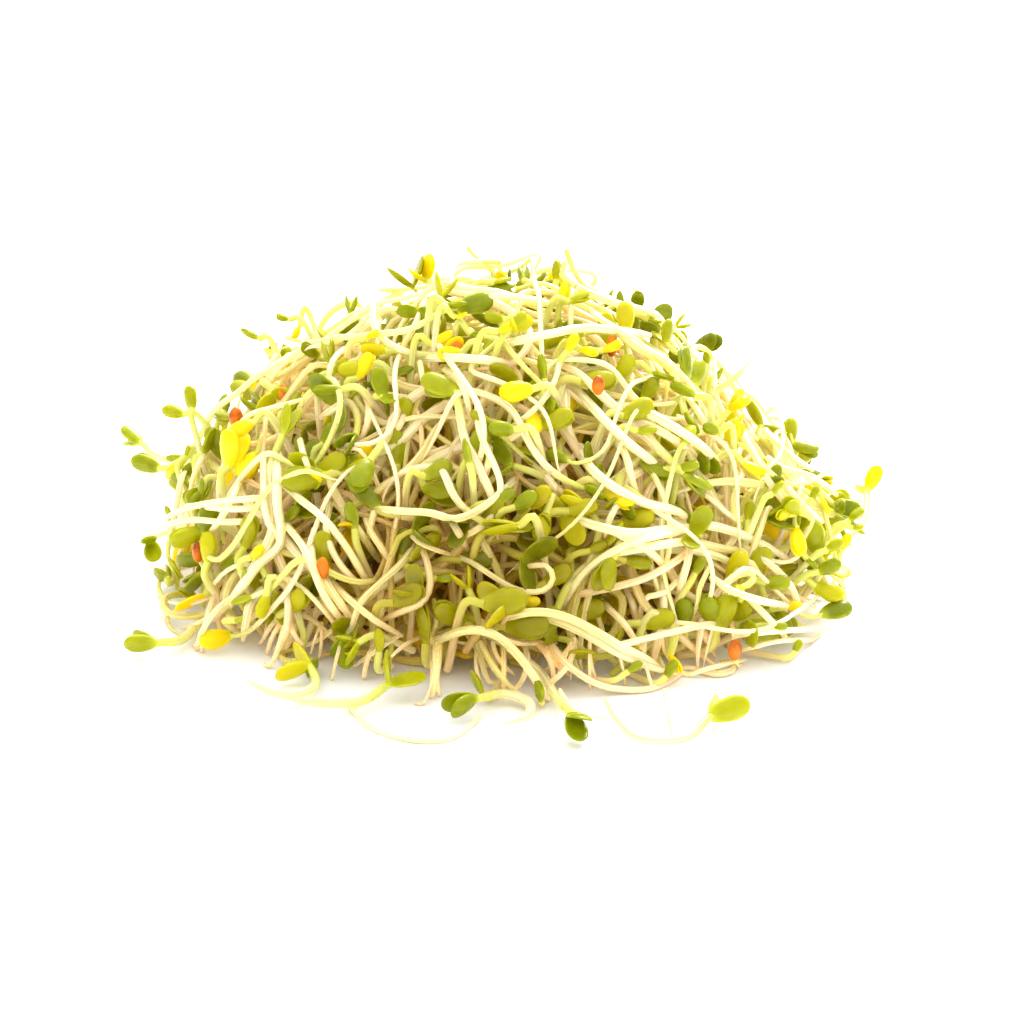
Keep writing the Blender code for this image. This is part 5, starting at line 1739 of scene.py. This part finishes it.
def stem_colour(tree, colours):
    """A stem's colour: green under the leaves, streaked cream along its length, tan at the root, in painted
    shade.
    """
    tone = attribute(tree, "stem_tone")
    base = ramp(tree, tone, (STEM_GREEN, STEM_CREAM, (0.7, *colours.stem), STEM_TAN))
    lines = eased(tree, streaks(tree, *LINE_STREAKS), *LINE_EDGE)
    # Pale lines, partly the stem's own streaks and partly a painted highlight
    base = mixed(tree, times(tree, lines, LINE_SHARE), base, PALE_LINE_AND_HIGHLIGHT)
    cores = eased(tree, streaks(tree, *CORE_STREAKS), *CORE_EDGE)
    base = mixed(tree, times(tree, cores, CORE_SHARE), base, CORE_COLOUR)
    green = eased(tree, attribute(tree, "from_head"), *STEM_GREENING)
    base = mixed(tree, green, base, colours.neck)
    tan = eased(tree, attribute(tree, "from_root"), *STEM_TANNING)
    tan = times(tree, tan, eased(tree, tone, *TANNED_TONES))
    # Painted shade over the stem's colour
    return with_painted_shade(tree, mixed(tree, tan, base, colours.root), STEM_PAINTED_SHADE)


def coloured(tree, shader, colour):
    """Gives a surface its colour, and a painted glow of that colour, standing in for light that comes through
    it.
    """
    tree.links.new(colour, shader.inputs["Base Color"])
    tree.links.new(colour, shader.inputs["Emission Color"])
    shader.inputs["Emission Strength"].default_value = PAINTED_GLOW


def pale_stem(colours):
    """Wet, slightly translucent stems."""
    tree, shader = shader_tree("pale_stem")
    coloured(tree, shader, stem_colour(tree, colours))
    rough = eased(tree, object_noise(tree, *STEM_GRAIN), *STEM_ROUGHNESS)
    tree.links.new(rough, shader.inputs["Roughness"])
    gloss(shader, WET_STEM)


def packed_stem(colours):
    """Stems that lie deep in the heap, plain and half matt."""
    tree, shader = shader_tree("packed_stem")
    coloured(tree, shader, stem_colour(tree, colours))
    gloss(shader, DEEP_STEM)


def seed_leaf(colours):
    """Glossy seed leaves from dark green to bright yellow, on necks coloured as stems."""
    tree, shader = shader_tree("seed_leaf")
    blade = ramp(tree, attribute(tree, "tone"), LEAF_GREENS)
    mottle = eased(tree, object_noise(tree, *LEAF_MOTTLE), *MOTTLE_EDGE)
    blade = mixed(tree, times(tree, mottle, MOTTLE_SHARE), blade, MOTTLE_COLOUR)
    rim = eased(tree, maths(tree, "ABSOLUTE", attribute(tree, "side")), *LEAF_RIM)
    blade = mixed(tree, rim, blade, RIM_COLOUR)
    foot = eased(tree, attribute(tree, "reach"), *LEAF_FOOT)
    blade = mixed(tree, foot, blade, FOOT_COLOUR)
    # Painted shade over the leaf's colour, as on the stems
    blade = with_painted_shade(tree, blade, LEAF_PAINTED_SHADE)
    coloured(tree, shader, mixed(tree, attribute(tree, "leafness"), stem_colour(tree, colours), blade))
    rough = eased(tree, object_noise(tree, *LEAF_GRAIN), *LEAF_ROUGHNESS)
    tree.links.new(rough, shader.inputs["Roughness"])
    relief(tree, shader, object_noise(tree, *LEAF_SKIN), *LEAF_RELIEF)
    gloss(shader, FRESH_LEAF)


def packed_heart():
    """The heart between the stems: wet, dark, green and brown, its colours a painted shade seen through the
    gaps.
    """
    tree, shader = shader_tree("packed_heart")
    colour = ramp(tree, object_noise(tree, *HEART_PATCHES), HEART_PAINTED_SHADE)
    tree.links.new(colour, shader.inputs["Base Color"])
    relief(tree, shader, object_noise(tree, *HEART_LUMPS), *HEART_RELIEF)
    gloss(shader, WET_HEART)


def husk(colours):
    """Shiny seed coats, darker in patches."""
    tree, shader = shader_tree("husk")
    dark = eased(tree, object_noise(tree, *COAT_PATCHES), *COAT_EDGE)
    colour = mixed(tree, dark, tuple(colours.coat), COAT_DARK)
    tree.links.new(colour, shader.inputs["Base Color"])
    gloss(shader, DRY_COAT)


class SPROUTS_OT_materials(bpy.types.Operator):
    """Make the materials and the node trees that grow stems and leaves"""

    bl_idname = "sprouts.materials"
    bl_label = "Materials and trees"

    def execute(self, context):
        colours = context.scene.heap_colours
        for make in (pale_stem, packed_stem, seed_leaf, husk):
            make(colours)
        packed_heart()
        stems_tree()
        leaves_tree()
        return {"FINISHED"}


class SPROUTS_OT_single(bpy.types.Operator):
    """Build the single sprouts that lie on the heap and round its foot"""

    bl_idname = "sprouts.single"
    bl_label = "Single sprouts"

    def execute(self, context):
        sizes = context.scene.heap_sizes
        sides = sizes.stem_sides + SINGLE_SIDES
        leaf_mesh = (sizes.leaf_sides, sizes.leaf_rings)
        for name, each in planned().singles.items():
            stem = stems_piece(f"{name}_fine_stem", [each], sides)
            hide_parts(f"{name}_stem")
            leaves = leaves_piece(f"{name}_fine_leaves", [each], sides, leaf_mesh)
            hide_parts(f"{name}_leaves")
        return {"FINISHED"}


class SPROUTS_OT_net(bpy.types.Operator):
    """Build the net of pale stems over the heart"""

    bl_idname = "sprouts.net"
    bl_label = "Net of stems"

    def execute(self, context):
        piece = stems_piece("net_of_fine_stems", planned().net, context.scene.heap_sizes.stem_sides)
        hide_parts("net_of_stems")
        return {"FINISHED"}


def solid_object(name, shape, material, smooth=True):
    """An object of the scene, made from a bmesh, with its material."""
    mesh = bpy.data.meshes.new(name)
    shape.to_mesh(mesh)
    shape.free()
    for face in mesh.polygons:
        face.use_smooth = smooth
    mesh.materials.append(bpy.data.materials[material])
    made = bpy.data.objects.new(name, mesh)
    bpy.context.scene.collection.objects.link(made)
    return made


def heart_shape():
    """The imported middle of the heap, dented and lumpy, with a flat base."""

    def place(unit):
        bearing = math.degrees(math.atan2(unit.x, -unit.y))
        climb = math.degrees(math.asin(min(1, max(0, unit.z))))
        around, up = math.radians(HEART_DENTS_ROUND * bearing), math.radians(HEART_DENTS_UP * climb)
        dents = math.sin(around) * math.sin(up)
        return heap_point(bearing, climb, -HEART_SUNK - HEART_DENT * (1 + dents) / 2)

    shape = bmesh.new()
    bmesh.ops.create_uvsphere(shape, u_segments=HEART_MESH[0], v_segments=HEART_MESH[1], radius=1)
    bmesh.ops.delete(shape, geom=[vertex for vertex in shape.verts if vertex.co.z < -LEVEL], context="VERTS")
    for vertex in shape.verts:
        vertex.co = place(vertex.co)
    rim = [edge for edge in shape.edges if edge.is_boundary]
    for edge in rim:
        for vertex in edge.verts:
            vertex.co.z = 0
    bmesh.ops.holes_fill(shape, edges=rim, sides=0)
    bmesh.ops.recalc_face_normals(shape, faces=shape.faces)
    return shape


class SPROUTS_OT_heart(bpy.types.Operator):
    """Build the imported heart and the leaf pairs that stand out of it"""

    bl_idname = "sprouts.heart"
    bl_label = "Heart with leaves"

    def execute(self, context):
        core = solid_object("heart_core", heart_shape(), "packed_heart")
        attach(core, BODY)
        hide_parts("heart_with_leaves")
        sides = context.scene.heap_sizes.stem_sides
        shoots = leaves_piece("heart_shoots", planned().shoots, sides, SHOOT_LEAF)
        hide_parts("heart_with_leaves")
        return {"FINISHED"}


class SPROUTS_OT_layers(bpy.types.Operator):
    """Build the sprouts laid between the others, layer by layer"""

    bl_idname = "sprouts.layers"
    bl_label = "Layers of sprouts"

    def execute(self, context):
        for name, sprouts in planned().layers.items():
            sides, leaf_mesh = context.scene.heap_sizes.stem_sides, LAYER_LEAF
            if name == "deep":
                sides, leaf_mesh = DEEP_SIDES, DEEP_LEAF
            finish = "packed_stem" if name in PACKED_LAYERS else "pale_stem"
            stems_piece(f"{name}_stems", sprouts, sides, finish)
            green = [each for each in sprouts if each.tone <= YELLOW_TONE]
            yellow = [each for each in sprouts if each.tone > YELLOW_TONE]
            leaves_piece(f"{name}_green_leaves", green, sides, leaf_mesh)
            leaves_piece(f"{name}_yellow_leaves", yellow, sides, leaf_mesh)
        return {"FINISHED"}


def coat_piece(name, middle, turn, scale):
    """An empty seed coat that stands on end, turned about the upright."""
    turned = Matrix.Rotation(math.radians(turn), 3, "Z")
    shape = bmesh.new()
    bmesh.ops.create_uvsphere(shape, u_segments=COAT_MESH[0], v_segments=COAT_MESH[1], radius=1)
    for vertex in shape.verts:
        x, y, z = vertex.co
        size = Vector((x * COAT_WIDTH / 2, y * COAT_THICKNESS / 2, z * COAT_LENGTH / 2))
        vertex.co = middle + turned @ (size * scale)
    piece = solid_object(name, shape, "husk")
    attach(piece, BODY)
    return piece


class SPROUTS_OT_coats(bpy.types.Operator):
    """Build the empty seed coats"""

    bl_idname = "sprouts.coats"
    bl_label = "Seed coats"

    def execute(self, context):
        for name, middle in planned().coats.items():
            piece = coat_piece(f"{name}_fine", middle, SEED_COATS[name][0], 1.0)
            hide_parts(name)
        for i, (middle, turn) in enumerate(planned().strays):
            coat_piece(f"seed_coat_{i}_fine", middle, turn, STRAY_SIZE)
        return {"FINISHED"}


# The stage: half the ground's size, how far it lies below the heap and its finish, the sky's strength at
# the horizon and overhead, and the lamp's place, target, size and power
GROUND_HALF = 3.0
GROUND_DROP = 0.02 * MM
WHITE_GROUND = {"Base Color": (0.95, 0.95, 0.95, 1), "Roughness": 0.6}
SKY = (0.70, 2.05)
LAMP_PLACE = Vector((0.16, 0.42, 0.45))
LAMP_TARGET = Vector((0, 0, 0.02))
LAMP_SIZE = 0.4
LAMP_POWER = 12.5


class SPROUTS_OT_stage(bpy.types.Operator):
    """Make the white ground, the lights and the camera"""

    bl_idname = "sprouts.stage"
    bl_label = "Stage"

    def execute(self, context):
        scene = context.scene
        _, shader = shader_tree("white_ground")
        gloss(shader, WHITE_GROUND)
        shape = bmesh.new()
        bmesh.ops.create_grid(shape, x_segments=1, y_segments=1, size=GROUND_HALF)
        ground = solid_object("ground", shape, "white_ground", smooth=False)
        ground.location.z = -GROUND_DROP

        world = bpy.data.worlds.new("white_room")
        world.use_nodes = True
        tree = world.node_tree
        toward = add(tree, "ShaderNodeTexCoord").outputs["Generated"]
        height = add(tree, "ShaderNodeSeparateXYZ", {0: toward}).outputs[2]
        background = tree.nodes["Background"]
        background.inputs["Color"].default_value = (1, 1, 1, 1)
        tree.links.new(eased(tree, height, 0.0, 1.0, *SKY), background.inputs["Strength"])
        scene.world = world

        data = bpy.data.lights.new("back_softbox", "AREA")
        data.shape = "DISK"
        data.size = LAMP_SIZE
        data.energy = LAMP_POWER
        lamp = bpy.data.objects.new("back_softbox", data)
        lamp.location = LAMP_PLACE
        lamp.rotation_euler = (LAMP_TARGET - LAMP_PLACE).to_track_quat("-Z", "Y").to_euler()
        scene.collection.objects.link(lamp)
        scene.view_settings.view_transform = "Standard"

        data = bpy.data.cameras.new("camera")
        data.lens = CAMERA_LENS
        data.sensor_width = CAMERA_SENSOR
        data.clip_start = CAMERA_NEAREST
        camera = bpy.data.objects.new("camera", data)
        camera.location = CAMERA_EYE
        camera.rotation_euler = (-CAMERA_BACK).to_track_quat("-Z", "Y").to_euler()
        scene.collection.objects.link(camera)
        scene.camera = camera
        return {"FINISHED"}


class SPROUTS_PT_heap(bpy.types.Panel):
    """The heap's sizes, colours and building steps"""

    bl_label = "Sprout heap"
    bl_space_type = "VIEW_3D"
    bl_region_type = "UI"
    bl_category = "Sprouts"

    def draw(self, context):
        for group in (context.scene.heap_sizes, context.scene.heap_colours):
            for key in group.__annotations__:
                self.layout.prop(group, key)
        for operator in OPERATORS:
            self.layout.operator(operator.bl_idname)


OPERATORS = (
    SPROUTS_OT_materials,
    SPROUTS_OT_single,
    SPROUTS_OT_net,
    SPROUTS_OT_heart,
    SPROUTS_OT_layers,
    SPROUTS_OT_coats,
    SPROUTS_OT_stage,
)
CLASSES = (HeapSizes, HeapColours, *OPERATORS, SPROUTS_PT_heap)


def register():
    for each in CLASSES:
        bpy.utils.register_class(each)
    bpy.types.Scene.heap_sizes = bpy.props.PointerProperty(type=HeapSizes)
    bpy.types.Scene.heap_colours = bpy.props.PointerProperty(type=HeapColours)


def unregister():
    del bpy.types.Scene.heap_colours
    del bpy.types.Scene.heap_sizes
    for each in reversed(CLASSES):
        bpy.utils.unregister_class(each)


def main():
    register()
    bpy.ops.sprouts.materials()
    bpy.ops.sprouts.single()
    bpy.ops.sprouts.net()
    bpy.ops.sprouts.heart()
    bpy.ops.sprouts.layers()
    bpy.ops.sprouts.coats()
    bpy.ops.sprouts.stage()


if __name__ == "__main__":
    main()
